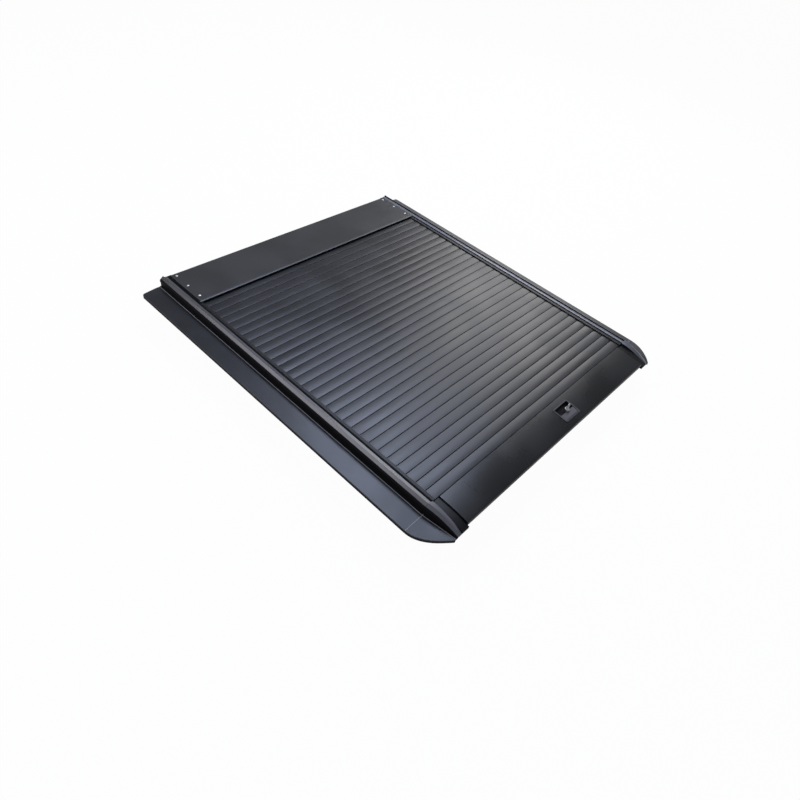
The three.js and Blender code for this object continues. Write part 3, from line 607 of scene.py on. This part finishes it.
def pebble_group():
    """The eroded pebble grain of moulded plastic."""
    if "Moulded Grain" in bpy.data.node_groups:
        return bpy.data.node_groups["Moulded Grain"]
    tree, start, end = group_tree(
        "Moulded Grain",
        (("Vector", "NodeSocketVector"), ("Grain Size", "NodeSocketFloat")),
        (("Height", "NodeSocketFloat"), ("Tone", "NodeSocketFloat")),
    )
    cells = add_node(tree, "ShaderNodeTexVoronoi", feature="SMOOTH_F1")
    tree.links.new(start.outputs["Vector"], cells.inputs["Vector"])
    tree.links.new(scale_for(tree, start.outputs["Grain Size"]), cells.inputs["Scale"])
    fine = noise_by_size(tree, start.outputs["Vector"], start.outputs["Grain Size"], PATCH_DETAIL)
    rough = calculate(tree, "MULTIPLY", fine, PEBBLE_FINE_SHARE)
    height = calculate(tree, "ADD", cells.outputs["Distance"], rough)
    tree.links.new(height, end.inputs["Height"])
    tree.links.new(fine, end.inputs["Tone"])
    return tree


def drawn_group():
    """Fine lines along X, as drawing or turning leaves in metal."""
    if "Drawn Lines" in bpy.data.node_groups:
        return bpy.data.node_groups["Drawn Lines"]
    tree, start, end = group_tree(
        "Drawn Lines",
        (
            ("Vector", "NodeSocketVector"), ("Line Width", "NodeSocketFloat"),
            ("Line Length", "NodeSocketFloat"),
        ),
        (("Height", "NodeSocketFloat"),),
    )
    across = scale_for(tree, start.outputs["Line Width"])
    along = scale_for(tree, start.outputs["Line Length"])
    scale = add_node(tree, "ShaderNodeCombineXYZ")
    tree.links.new(along, scale.inputs["X"])
    tree.links.new(across, scale.inputs["Y"])
    tree.links.new(across, scale.inputs["Z"])
    stretch = add_node(tree, "ShaderNodeVectorMath", operation="MULTIPLY")
    tree.links.new(start.outputs["Vector"], stretch.inputs[0])
    tree.links.new(scale.outputs["Vector"], stretch.inputs[1])
    noise = add_node(tree, "ShaderNodeTexNoise")
    noise.inputs["Scale"].default_value = UNIT_SCALE
    noise.inputs["Detail"].default_value = PATCH_DETAIL
    tree.links.new(stretch.outputs["Vector"], noise.inputs["Vector"])
    tree.links.new(noise.outputs[0], end.inputs["Height"])
    return tree


# Materials

def use_group(tree, group, vector, **values):
    node = add_node(tree, "ShaderNodeGroup", node_tree=group)
    tree.links.new(vector, node.inputs["Vector"])
    for name, value in values.items():
        node.inputs[name.replace("_", " ").title()].default_value = value
    return node


def new_surface(name):
    """A material with only its shader, its output and its object coordinates."""
    material = bpy.data.materials.new(name)
    material.use_nodes = True
    tree = material.node_tree
    tree.nodes.clear()
    shader = tree.nodes.new("ShaderNodeBsdfPrincipled")
    output = tree.nodes.new("ShaderNodeOutputMaterial")
    tree.links.new(shader.outputs["BSDF"], output.inputs["Surface"])
    place = tree.nodes.new("ShaderNodeTexCoord").outputs["Object"]
    return material, tree, shader, place


def blend_colours(tree, factor, first, second):
    """Blends two colours, each a socket or a plain colour."""
    node = add_node(tree, "ShaderNodeMix", data_type="RGBA")
    ends = [socket for socket in node.inputs if socket.type == "RGBA"]
    for end, value in zip(ends, (first, second)):
        if isinstance(value, bpy.types.NodeSocket):
            tree.links.new(value, end)
        else:
            end.default_value = (*value, FULL_SHARE)
    tree.links.new(factor, node.inputs["Factor"])
    return next(socket for socket in node.outputs if socket.type == "RGBA")


def tone_around(colour, spread):
    darker = [channel * (FULL_SHARE - spread) for channel in colour]
    lighter = [min(FULL_SHARE, channel * (FULL_SHARE + spread)) for channel in colour]
    return darker, lighter


def spread_roughness(tree, shader, factor, middle, spread):
    span = add_node(tree, "ShaderNodeMapRange")
    span.inputs["To Min"].default_value = middle - spread
    span.inputs["To Max"].default_value = middle + spread
    tree.links.new(factor, span.inputs["Value"])
    tree.links.new(span.outputs["Result"], shader.inputs["Roughness"])


def raise_grain(tree, shader, height, depth):
    bump = add_node(tree, "ShaderNodeBump")
    bump.inputs["Distance"].default_value = depth
    tree.links.new(height, bump.inputs["Height"])
    tree.links.new(bump.outputs["Normal"], shader.inputs["Normal"])


def grained_surface(name, colour, roughness, gloss, group, grain, depth):
    """A coat or plastic: broad patches in its tone and roughness, and a fine grain."""
    values = finish()
    material, tree, shader, place = new_surface(name)
    shader.inputs["Specular IOR Level"].default_value = gloss
    patches = use_group(tree, cloud_group(), place, size=values.patch_size)
    fine = use_group(tree, group, place, grain_size=grain)
    factor = calculate(tree, "ADD", patches.outputs["Value"], fine.outputs["Tone"])
    factor = calculate(tree, "MULTIPLY", factor, HALF_SHARE)
    darker, lighter = tone_around(colour, values.tone_spread)
    tree.links.new(blend_colours(tree, factor, darker, lighter), shader.inputs["Base Color"])
    spread_roughness(tree, shader, patches.outputs["Value"], roughness, values.roughness_spread)
    raise_grain(tree, shader, fine.outputs["Height"], depth)
    return material


def coat(name, colour, roughness, gloss):
    values = finish()
    return grained_surface(
        name, colour, roughness, gloss, coat_group(), values.coat_grain, values.coat_depth,
    )


def moulded(name, colour, roughness, gloss):
    values = finish()
    return grained_surface(
        name, colour, roughness, gloss, pebble_group(), values.pebble_size, values.pebble_depth,
    )


def plastic(name, colour, gloss):
    return moulded(name, colour, finish().plastic_roughness, gloss)


def painted_shade_coat(name):
    """Painted shade: a near-black coat given to upright and turned-away faces, for the shade that falls on
    them.
    """
    return coat(name, colours().side, finish().side_roughness, finish().side_gloss)


def slat_pitch():
    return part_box(SLATS[1])[0].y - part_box(SLATS[0])[0].y


def slat_coat():
    """The slats' coat: its tone steps from slat to slat, and each slat's far edge carries a painted
    highlight, a lighter strip.
    """
    values = finish()
    material = coat("slat_coat_satin", colours().slat, values.slat_roughness, values.coat_gloss)
    tree = material.node_tree
    shader = next(node for node in tree.nodes if node.type == "BSDF_PRINCIPLED")
    place = next(node for node in tree.nodes if node.type == "TEX_COORD").outputs["Object"]
    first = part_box(SLATS[0])[0].y
    pitch = slat_pitch()
    parts = add_node(tree, "ShaderNodeSeparateXYZ")
    tree.links.new(place, parts.inputs["Vector"])
    shifted = calculate(tree, "SUBTRACT", parts.outputs["Y"], first)
    counted = calculate(tree, "DIVIDE", shifted, pitch)
    chance = add_node(tree, "ShaderNodeTexWhiteNoise", noise_dimensions="1D")
    tree.links.new(calculate(tree, "FLOOR", counted, 0), chance.inputs["W"])
    span = add_node(tree, "ShaderNodeMapRange")
    span.inputs["To Min"].default_value = FULL_SHARE - values.slat_spread
    span.inputs["To Max"].default_value = FULL_SHARE + values.slat_spread
    tree.links.new(chance.outputs["Value"], span.inputs["Value"])
    scaled = add_node(tree, "ShaderNodeVectorMath", operation="SCALE")
    tree.links.new(shader.inputs["Base Color"].links[0].from_socket, scaled.inputs[0])
    tree.links.new(span.outputs["Result"], scaled.inputs["Scale"])
    # Painted highlight: the last share of each slat's pitch, at its far edge, takes the lighter tone
    across = calculate(tree, "FRACT", counted, 0)
    rubbed = calculate(tree, "GREATER_THAN", across, FULL_SHARE - values.painted_highlight_width / pitch)
    toned = blend_colours(tree, rubbed, scaled.outputs["Vector"], colours().rubbed)
    tree.links.new(toned, shader.inputs["Base Color"])
    return material


def drawn_metal(name, colour, roughness):
    """A metal with fine drawn lines along X."""
    values = finish()
    material, tree, shader, place = new_surface(name)
    shader.inputs["Metallic"].default_value = FULL_SHARE
    lines = use_group(
        tree, drawn_group(), place, line_width=values.line_width, line_length=values.line_length,
    )
    darker, lighter = tone_around(colour, values.tone_spread)
    toned = blend_colours(tree, lines.outputs["Height"], darker, lighter)
    tree.links.new(toned, shader.inputs["Base Color"])
    spread_roughness(tree, shader, lines.outputs["Height"], roughness, values.roughness_spread)
    raise_grain(tree, shader, lines.outputs["Height"], values.line_depth)
    return material


def plated_metal(name, colour, roughness):
    """Polished plating with faint broad patches in its gloss."""
    values = finish()
    material, tree, shader, place = new_surface(name)
    shader.inputs["Metallic"].default_value = FULL_SHARE
    patches = use_group(tree, cloud_group(), place, size=values.plating_patch)
    darker, lighter = tone_around(colour, values.roughness_spread)
    toned = blend_colours(tree, patches.outputs["Value"], darker, lighter)
    tree.links.new(toned, shader.inputs["Base Color"])
    spread = values.roughness_spread * HALF_SHARE
    spread_roughness(tree, shader, patches.outputs["Value"], roughness, spread)
    return material


def webbing(name):
    """Woven webbing: yarns that cross over and under each other."""
    values = finish()
    material, tree, shader, place = new_surface(name)
    weave = add_node(tree, "ShaderNodeTexBrick")
    weave.inputs["Color1"].default_value = (*colours().web_dark, FULL_SHARE)
    weave.inputs["Color2"].default_value = (*colours().web_light, FULL_SHARE)
    weave.inputs["Mortar"].default_value = (0, 0, 0, 1)
    weave.inputs["Scale"].default_value = UNIT_SCALE / values.yarn_width
    weave.inputs["Mortar Size"].default_value = YARN_GAP_SHARE
    tree.links.new(place, weave.inputs["Vector"])
    tree.links.new(weave.outputs["Color"], shader.inputs["Base Color"])
    spread_roughness(tree, shader, weave.outputs["Fac"], values.web_roughness, values.roughness_spread)
    raise_grain(tree, shader, weave.outputs["Fac"], values.yarn_depth)
    return material


# Stage

def ray_mask(tree):
    """One for rays that see the background: the camera's, mirrored and transmitted ones."""
    path = tree.nodes.new("ShaderNodeLightPath")
    seen = calculate(tree, "MAXIMUM", path.outputs["Is Camera Ray"], path.outputs["Is Glossy Ray"])
    return calculate(tree, "MAXIMUM", seen, path.outputs["Is Transmission Ray"])


def make_world(settings):
    """Soft light all round: pale walls, and a dimmer ceiling above them."""
    world = bpy.data.worlds.new("pale_room")
    bpy.context.scene.world = world
    world.use_nodes = True
    tree = world.node_tree
    tree.nodes.clear()
    way = add_node(tree, "ShaderNodeSeparateXYZ")
    tree.links.new(tree.nodes.new("ShaderNodeTexCoord").outputs["Generated"], way.inputs["Vector"])
    span = add_node(tree, "ShaderNodeMapRange", interpolation_type="SMOOTHSTEP")
    span.inputs["From Min"].default_value = math.sin(settings.wall_top)
    span.inputs["From Max"].default_value = math.sin(settings.ceiling_start)
    span.inputs["To Min"].default_value = settings.wall_strength
    span.inputs["To Max"].default_value = settings.ceiling_strength
    tree.links.new(way.outputs["Z"], span.inputs["Value"])
    light = add_node(tree, "ShaderNodeBackground")
    light.inputs["Color"].default_value = (*settings.room_colour, FULL_SHARE)
    tree.links.new(span.outputs["Result"], light.inputs["Strength"])
    output = tree.nodes.new("ShaderNodeOutputWorld")
    tree.links.new(light.outputs["Background"], output.inputs["Surface"])


def floor_material(settings):
    """A pale floor that reads as white and still takes the object's soft shadow."""
    material = bpy.data.materials.new("pale_floor")
    material.use_nodes = True
    tree = material.node_tree
    tree.nodes.clear()
    matte = add_node(tree, "ShaderNodeBsdfDiffuse")
    matte.inputs["Color"].default_value = (*settings.floor_colour, FULL_SHARE)
    glow = add_node(tree, "ShaderNodeEmission")
    glow.inputs["Strength"].default_value = FULL_SHARE
    share = calculate(tree, "MULTIPLY", ray_mask(tree), settings.floor_glow)
    choose = tree.nodes.new("ShaderNodeMixShader")
    output = tree.nodes.new("ShaderNodeOutputMaterial")
    tree.links.new(share, choose.inputs["Fac"])
    tree.links.new(matte.outputs["BSDF"], choose.inputs[1])
    tree.links.new(glow.outputs["Emission"], choose.inputs[2])
    tree.links.new(choose.outputs["Shader"], output.inputs["Surface"])
    return material


def make_floor(settings):
    lowest = min(corner.z for corner in map(Vector, cad_box)) - settings.floor_gap
    clear_selection()
    bpy.ops.mesh.primitive_plane_add(size=settings.floor_size, location=(0, 0, lowest))
    floor = bpy.context.object
    floor.name = "pale_floor"
    floor.data.materials.append(floor_material(settings))


def make_camera(settings):
    camera = bpy.data.cameras.new("photo_camera")
    camera.lens = settings.lens
    camera.sensor_width = settings.sensor
    camera.clip_end = settings.clip_end
    holder = bpy.data.objects.new("photo_camera", camera)
    bpy.context.scene.collection.objects.link(holder)
    holder.location = settings.camera_place
    holder.rotation_euler = settings.camera_turn
    bpy.context.scene.camera = holder


def make_lamp(settings, word):
    """A soft panel that faces the cover's middle, from the settings that start with the word."""
    bearing, height, distance, width, rise, power, colour = (
        getattr(settings, f"{word}_{value}")
        for value in ("bearing", "height", "distance", "width", "rise", "power", "colour")
    )
    low, high = (Vector(corner) for corner in cad_box)
    middle = (low + high) * HALF_SHARE
    way = Vector((
        math.cos(height) * math.cos(bearing), math.cos(height) * math.sin(bearing), math.sin(height),
    ))
    name = f"{word}_lamp"
    lamp = bpy.data.lights.new(name, "AREA")
    lamp.shape = "RECTANGLE"
    lamp.size = width
    lamp.size_y = rise
    lamp.energy = power
    lamp.color = colour
    holder = bpy.data.objects.new(name, lamp)
    bpy.context.scene.collection.objects.link(holder)
    holder.location = middle + way * distance
    holder.rotation_euler = way.to_track_quat("Z", "Y").to_euler()


class COVER_OT_stage(Operator):
    """Adds the camera, the floor, the lamps and the light all round"""
    bl_idname = "cover.stage"
    bl_label = "Stage"

    def execute(self, context):
        settings = context.scene.cover_stage
        make_camera(settings)
        make_world(settings)
        make_floor(settings)
        for word in ("front", "high", "side"):
            make_lamp(settings, word)
        context.scene.view_settings.view_transform = "Standard"
        return {"FINISHED"}


# Pieces

class COVER_OT_slats(Operator):
    """Finishes one slat with rounded edges and painted shade on the faces turned down into its seams, and
    sets a copy at each slat's place
    """
    bl_idname = "cover.slats"
    bl_label = "Slats"

    def execute(self, context):
        material = slat_coat()
        painted_shade = painted_shade_coat("slat_seam_matte")
        sizes = edges()
        first = finished_copy(
            SLATS[0], sizes.slat, material,
            lambda piece: bow_top(piece, slat_pitch(), sizes.slat_skin, sizes.slat_bow),
        )
        # Painted shade: faces turned towards the tail, down into the seam, take the near-black coat
        turn = sizes.slat_turn
        paint_faces(
            first, painted_shade, lambda centre, normal: normal.z < turn and normal.y < MERGE_DISTANCE,
        )
        repeat_piece(first, SLATS)
        return {"FINISHED"}


class COVER_OT_rails(Operator):
    """Finishes the two side rails"""
    bl_idname = "cover.rails"
    bl_label = "Rails"

    def execute(self, context):
        values = finish()
        material = coat("rail_coat_satin", colours().rail, values.rail_roughness, values.rail_gloss)
        painted_shade = painted_shade_coat("rail_side_matte")
        shade_painted = coat("rail_ledge_satin", colours().ledge, values.lid_roughness, values.ledge_gloss)
        sizes = edges()
        for side in SIDES:
            node = f"rail_{side}"
            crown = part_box(node)[1].z - sizes.rail_crown
            rail = finished_copy(
                node, sizes.rail, material, lambda piece: cut_faces(piece, (0, 0, crown), UP),
            )
            tone = getattr(colours(), f"inner_{side}")
            inner = coat(f"rail_inner_{side}_satin", tone, values.rail_roughness, values.rail_gloss)
            away = inner_distance(node)
            # Painted shade: the rail is cut at its crown; upright faces, and faces below the crown beyond
            # the crest, take the near-black coat
            paint_faces(
                rail, painted_shade,
                lambda centre, normal: upright(centre, normal)
                or centre.z < crown and away(centre) > sizes.crest_reach,
            )
            # Painted light: the level faces inside the crest take this side's lighter tone
            paint_faces(
                rail, inner,
                lambda centre, normal: lies_level(centre, normal)
                and away(centre) < sizes.crest_reach,
            )
            # Painted shade: the level ledge along the inner edge takes the darker tone
            paint_faces(
                rail, shade_painted,
                lambda centre, normal: lies_level(centre, normal)
                and away(centre) < sizes.ledge_width,
            )
        return {"FINISHED"}


def add_bar(name, low, high):
    """A bar between two corners, to be shaped further."""
    clear_selection()
    bpy.ops.mesh.primitive_cube_add(size=1, location=(low + high) * HALF_SHARE)
    piece = bpy.context.object
    piece.name = name
    piece.data.name = name
    piece.scale = high - low
    bpy.ops.object.transform_apply(location=True, rotation=True, scale=True)
    return piece


def model_seal(side, sizes):
    """A rubber seal in the groove of a rail: a flat foot with a lip along it."""
    rail_low, rail_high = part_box(f"rail_{side}")
    edge = rail_high.x if side == "left" else rail_low.x
    near = edge - inward(side) * sizes.setback
    far = near - inward(side) * sizes.width
    base = rail_high.z - sizes.drop
    piece = add_bar(
        f"rail_seal_{side}",
        Vector((min(near, far), rail_low.y, base)),
        Vector((max(near, far), rail_high.y, base + sizes.height)),
    )
    pick_faces(piece, lies_level)
    bpy.ops.mesh.inset(thickness=sizes.lip_margin)
    raise_faces(sizes.lip_height)
    round_edges(piece, sizes.rounding, edges().steps)
    even_shading(piece)
    return piece


def model_bumper(side, sizes):
    """A rubber bumper on the end cap's inner wall, which closes the gap beside the bullnose."""
    node = f"rail_end_cap_{side}"
    piece = merged_copy(node, f"end_cap_bumper_{side}")
    delete_faces(piece, lambda centre, normal: normal.x * inward(side) < LEVEL_SHARE)
    away = inner_distance(node)
    delete_faces(piece, lambda centre, normal: abs(away(centre)) > sizes.rounding)
    thicken(piece, sizes.bumper_width, sizes.rounding)
    return piece


class COVER_OT_seals(Operator):
    """Models the rubber seals along the rails and the bumpers on the end caps"""
    bl_idname = "cover.seals"
    bl_label = "Seals"

    def execute(self, context):
        sizes = context.scene.cover_seals
        values = finish()
        material = moulded(
            "seal_rubber", colours().rubber, values.rubber_roughness, values.rubber_gloss,
        )
        for side in SIDES:
            cap = f"rail_end_cap_{side}"
            for model in (model_seal, model_bumper):
                add_trim(model(side, sizes), NODE_BODY[cap], material)
        return {"FINISHED"}


def model_joint(tip, sizes):
    """A thin strip over the joint between a flange and its tail tip, from the tip's own surface."""
    piece = merged_copy(tip, f"{tip}_joint")
    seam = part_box(tip)[1].y
    cut_faces(piece, (0, seam - sizes.joint_width, 0), ALONG, clear=True)
    delete_faces(piece, lambda centre, normal: not lies_level(centre, normal))
    thicken(piece, sizes.joint_height, sizes.joint_height * HALF_SHARE)
    return piece


class COVER_OT_flanges(Operator):
    """Finishes the flanges over the bed sides and their tail tips"""
    bl_idname = "cover.flanges"
    bl_label = "Flanges"

    def execute(self, context):
        material = plastic("flange_plastic_grained", colours().flange, finish().coat_gloss)
        rubbed = plastic("flange_bead_rubbed", colours().bead, finish().coat_gloss)
        painted_shade = painted_shade_coat("flange_lip_matte")
        sizes = edges()
        for side in SIDES:
            flange, tip = f"bed_flange_{side}", f"flange_tip_{side}"
            for node in (flange, tip):
                piece = finished_copy(node, sizes.flange, material)
                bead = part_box(node)[1].z - sizes.bead_height
                # Painted shade on the upright faces and the bead's top, which take the near-black coat
                paint_faces(
                    piece, painted_shade,
                    lambda centre, normal: upright(centre, normal) or centre.z > bead,
                )
                # Painted highlight on the bead's slanted faces
                paint_faces(
                    piece, rubbed,
                    lambda centre, normal: slanted(centre, normal) and centre.z > bead,
                )
            # The joint strip carries the painted highlight all over
            add_trim(model_joint(tip, sizes), NODE_BODY[tip], rubbed)
        return {"FINISHED"}


class COVER_OT_end_caps(Operator):
    """Finishes the rails' end caps"""
    bl_idname = "cover.end_caps"
    bl_label = "End Caps"

    def execute(self, context):
        material = plastic("cap_plastic_grained", colours().cap, finish().coat_gloss)
        shelf = plastic("cap_shelf_grained", colours().shelf, finish().ledge_gloss)
        painted_shade = painted_shade_coat("cap_side_matte")
        sizes = edges()
        for side in SIDES:
            node = f"rail_end_cap_{side}"
            low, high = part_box(node)
            edge = high.x if side == "left" else low.x
            start = Vector((edge - inward(side) * sizes.cap_dull_start, high.y, 0))
            end = Vector((edge - inward(side) * sizes.cap_dull_end, low.y, 0))
            outward = (end - start).cross(Vector(UP)) * inward(side)
            piece = finished_copy(
                node, sizes.cap, material, lambda piece: cut_faces(piece, start, outward),
            )
            away = inner_distance(node)
            # Painted shade: the inner shelf takes the near-black tone
            paint_faces(piece, shelf, lambda centre, normal: away(centre) < sizes.shelf_width)
            # Painted shade on the upright faces and the outer side beyond the slanted cut
            paint_faces(
                piece, painted_shade,
                lambda centre, normal: upright(centre, normal) or (centre - start).dot(outward) > 0,
            )
        return {"FINISHED"}


class COVER_OT_canister(Operator):
    """Finishes the canister's trough, end plates and lid bars"""
    bl_idname = "cover.canister"
    bl_label = "Canister"

    def execute(self, context):
        values = finish()
        material = coat(
            "canister_coat_satin", colours().canister, values.lid_roughness, values.coat_gloss,
        )
        finished_copy("canister_trough", edges().canister, material)
        for side in SIDES:
            for node in (f"canister_end_{side}", f"lid_bar_{side}"):
                finished_copy(node, edges().canister, material)
        return {"FINISHED"}


class COVER_OT_lid(Operator):
    """Finishes the canister's lid"""
    bl_idname = "cover.lid"
    bl_label = "Lid"

    def execute(self, context):
        values = finish()
        material = coat("lid_coat_satin", colours().lid, values.lid_roughness, values.coat_gloss)
        lid = finished_copy("canister_lid", edges().lid, material)
        # Painted shade on the lid's upright faces
        paint_faces(lid, painted_shade_coat("lid_side_matte"), upright)
        return {"FINISHED"}


def model_rivet(name, node, sizes):
    """A domed rivet with the cup of its mandrel, from a cylinder as wide as its head."""
    low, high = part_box(node)
    radius = (high.x - low.x) * HALF_SHARE
    lid_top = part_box("canister_lid")[1].z
    height = high.z - lid_top
    middle = (low + high) * HALF_SHARE
    clear_selection()
    bpy.ops.mesh.primitive_cylinder_add(
        vertices=sizes.sides, radius=radius, depth=height,
        location=(middle.x, middle.y, lid_top + height * HALF_SHARE),
    )
    piece = bpy.context.object
    piece.name = name
    piece.data.name = name
    bpy.ops.object.transform_apply(location=True, rotation=True, scale=True)
    pick_faces(piece, lies_level)
    bpy.ops.mesh.bevel(
        offset=sizes.dome, segments=sizes.dome_steps, affect="EDGES", clamp_overlap=True,
    )
    leave_edit()
    crown = high.z - MERGE_DISTANCE
    pick_faces(piece, lambda centre, normal: lies_level(centre, normal) and centre.z > crown)
    bpy.ops.mesh.inset(thickness=radius - sizes.dome - sizes.cup_radius)
    raise_faces(-sizes.cup_depth)
    pick_faces(piece, lambda centre, normal: normal.z < -LEVEL_SHARE)
    bpy.ops.mesh.inset(thickness=radius - sizes.shank_radius)
    raise_faces(low.z - lid_top)
    even_shading(piece)
    return piece


class COVER_OT_rivets(Operator):
    """Models one domed rivet and sets a copy at each rivet's place on the lid"""
    bl_idname = "cover.rivets"
    bl_label = "Rivets"

    def execute(self, context):
        material = drawn_metal("rivet_aluminium", colours().rivet, finish().rivet_roughness)
        nodes = [f"lid_rivet_{side}_{row}" for side in SIDES for row in RIVET_ROWS]
        first = model_rivet(f"{nodes[0]}_finished", nodes[0], context.scene.cover_rivets)
        put_in_place(first, nodes[0], material)
        repeat_piece(first, nodes)
        return {"FINISHED"}


class COVER_OT_bullnose(Operator):
    """Finishes the bullnose"""
    bl_idname = "cover.bullnose"
    bl_label = "Bullnose"

    def execute(self, context):
        values = finish()
        material = coat(
            "bullnose_coat_satin", colours().bullnose, values.bullnose_roughness, values.coat_gloss,
        )
        sizes = edges()
        bullnose = finished_copy(
            "bullnose", sizes.bullnose, material, lambda piece: cut_across(piece, sizes.nose_cuts),
        )
        # Painted shade on the bullnose's upright faces
        paint_faces(bullnose, painted_shade_coat("bullnose_side_matte"), upright)
        return {"FINISHED"}


class COVER_OT_drum(Operator):
    """Finishes the drum, its axle and the webbing on it"""
    bl_idname = "cover.drum"
    bl_label = "Drum"

    def execute(self, context):
        steel = drawn_metal("axle_steel_plated", colours().steel, finish().steel_roughness)
        bare = drawn_metal("aluminium_drawn", colours().aluminium, finish().aluminium_roughness)
        finished_copy("drum_axle", edges().canister, steel)
        finished_copy("drum_tube", edges().canister, bare)
        finished_copy("drum_leader", 0, webbing("leader_webbing"))
        return {"FINISHED"}


class COVER_OT_lock(Operator):
    """Finishes the lock's pocket, paddle, lever, key plug, cam and rods"""
    bl_idname = "cover.lock"
    bl_label = "Lock"

    def execute(self, context):
        sizes = edges()
        values = finish()
        pocket = plastic("pocket_plastic_grained", colours().pocket, values.side_gloss)
        bezel = plastic("bezel_plastic_grained", colours().bezel, values.coat_gloss)
        paddle = plastic("paddle_plastic_grained", colours().paddle, values.coat_gloss)
        chrome = plated_metal("lever_chrome", colours().chrome, values.chrome_roughness)
        steel = drawn_metal("rod_steel_plated", colours().steel, values.steel_roughness)
        # Painted shade: the pocket is near-black, and only its upward faces near the top take the rim's
        # tone
        tub = finished_copy("lock_pocket", sizes.pocket, pocket)
        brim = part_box("lock_pocket")[1].z - sizes.bezel_depth
        paint_faces(
            tub, bezel, lambda centre, normal: normal.z > UPRIGHT_SHARE and centre.z > brim,
        )
        finished_copy("pull_paddle", sizes.paddle, paddle)
        finished_copy("lock_lever", sizes.lever, chrome)
        finished_copy("key_plug", sizes.drive, chrome)
        for node in ("lock_cam", "lock_rod_left", "lock_rod_right"):
            finished_copy(node, sizes.drive, steel)
        return {"FINISHED"}


class COVER_PT_panel(Panel):
    """Lists the cover's pieces and the stage"""
    bl_idname = "COVER_PT_panel"
    bl_label = "Bed Cover"
    bl_space_type = "VIEW_3D"
    bl_region_type = "UI"
    bl_category = "Bed Cover"

    def draw(self, context):
        for operator in OPERATORS:
            self.layout.operator(operator.bl_idname)


OPERATORS = (
    COVER_OT_stage, COVER_OT_slats, COVER_OT_rails, COVER_OT_seals, COVER_OT_flanges,
    COVER_OT_end_caps, COVER_OT_canister, COVER_OT_lid, COVER_OT_rivets, COVER_OT_bullnose,
    COVER_OT_drum, COVER_OT_lock,
)
SETTINGS = {
    "cover_colours": CoverColours,
    "cover_finish": CoverFinish,
    "cover_edges": EdgeSizes,
    "cover_rivets": RivetSizes,
    "cover_seals": SealSizes,
    "cover_stage": StageSettings,
}


def register():
    for group in (*SETTINGS.values(), *OPERATORS, COVER_PT_panel):
        bpy.utils.register_class(group)
    for name, group in SETTINGS.items():
        setattr(bpy.types.Scene, name, PointerProperty(type=group))


def unregister():
    for name in SETTINGS:
        delattr(bpy.types.Scene, name)
    for group in (COVER_PT_panel, *reversed(OPERATORS), *SETTINGS.values()):
        bpy.utils.unregister_class(group)


def main():
    register()
    bpy.ops.cover.stage()
    bpy.ops.cover.slats()
    bpy.ops.cover.rails()
    bpy.ops.cover.seals()
    bpy.ops.cover.flanges()
    bpy.ops.cover.end_caps()
    bpy.ops.cover.canister()
    bpy.ops.cover.lid()
    bpy.ops.cover.rivets()
    bpy.ops.cover.bullnose()
    bpy.ops.cover.drum()
    bpy.ops.cover.lock()


if __name__ == "__main__":
    main()
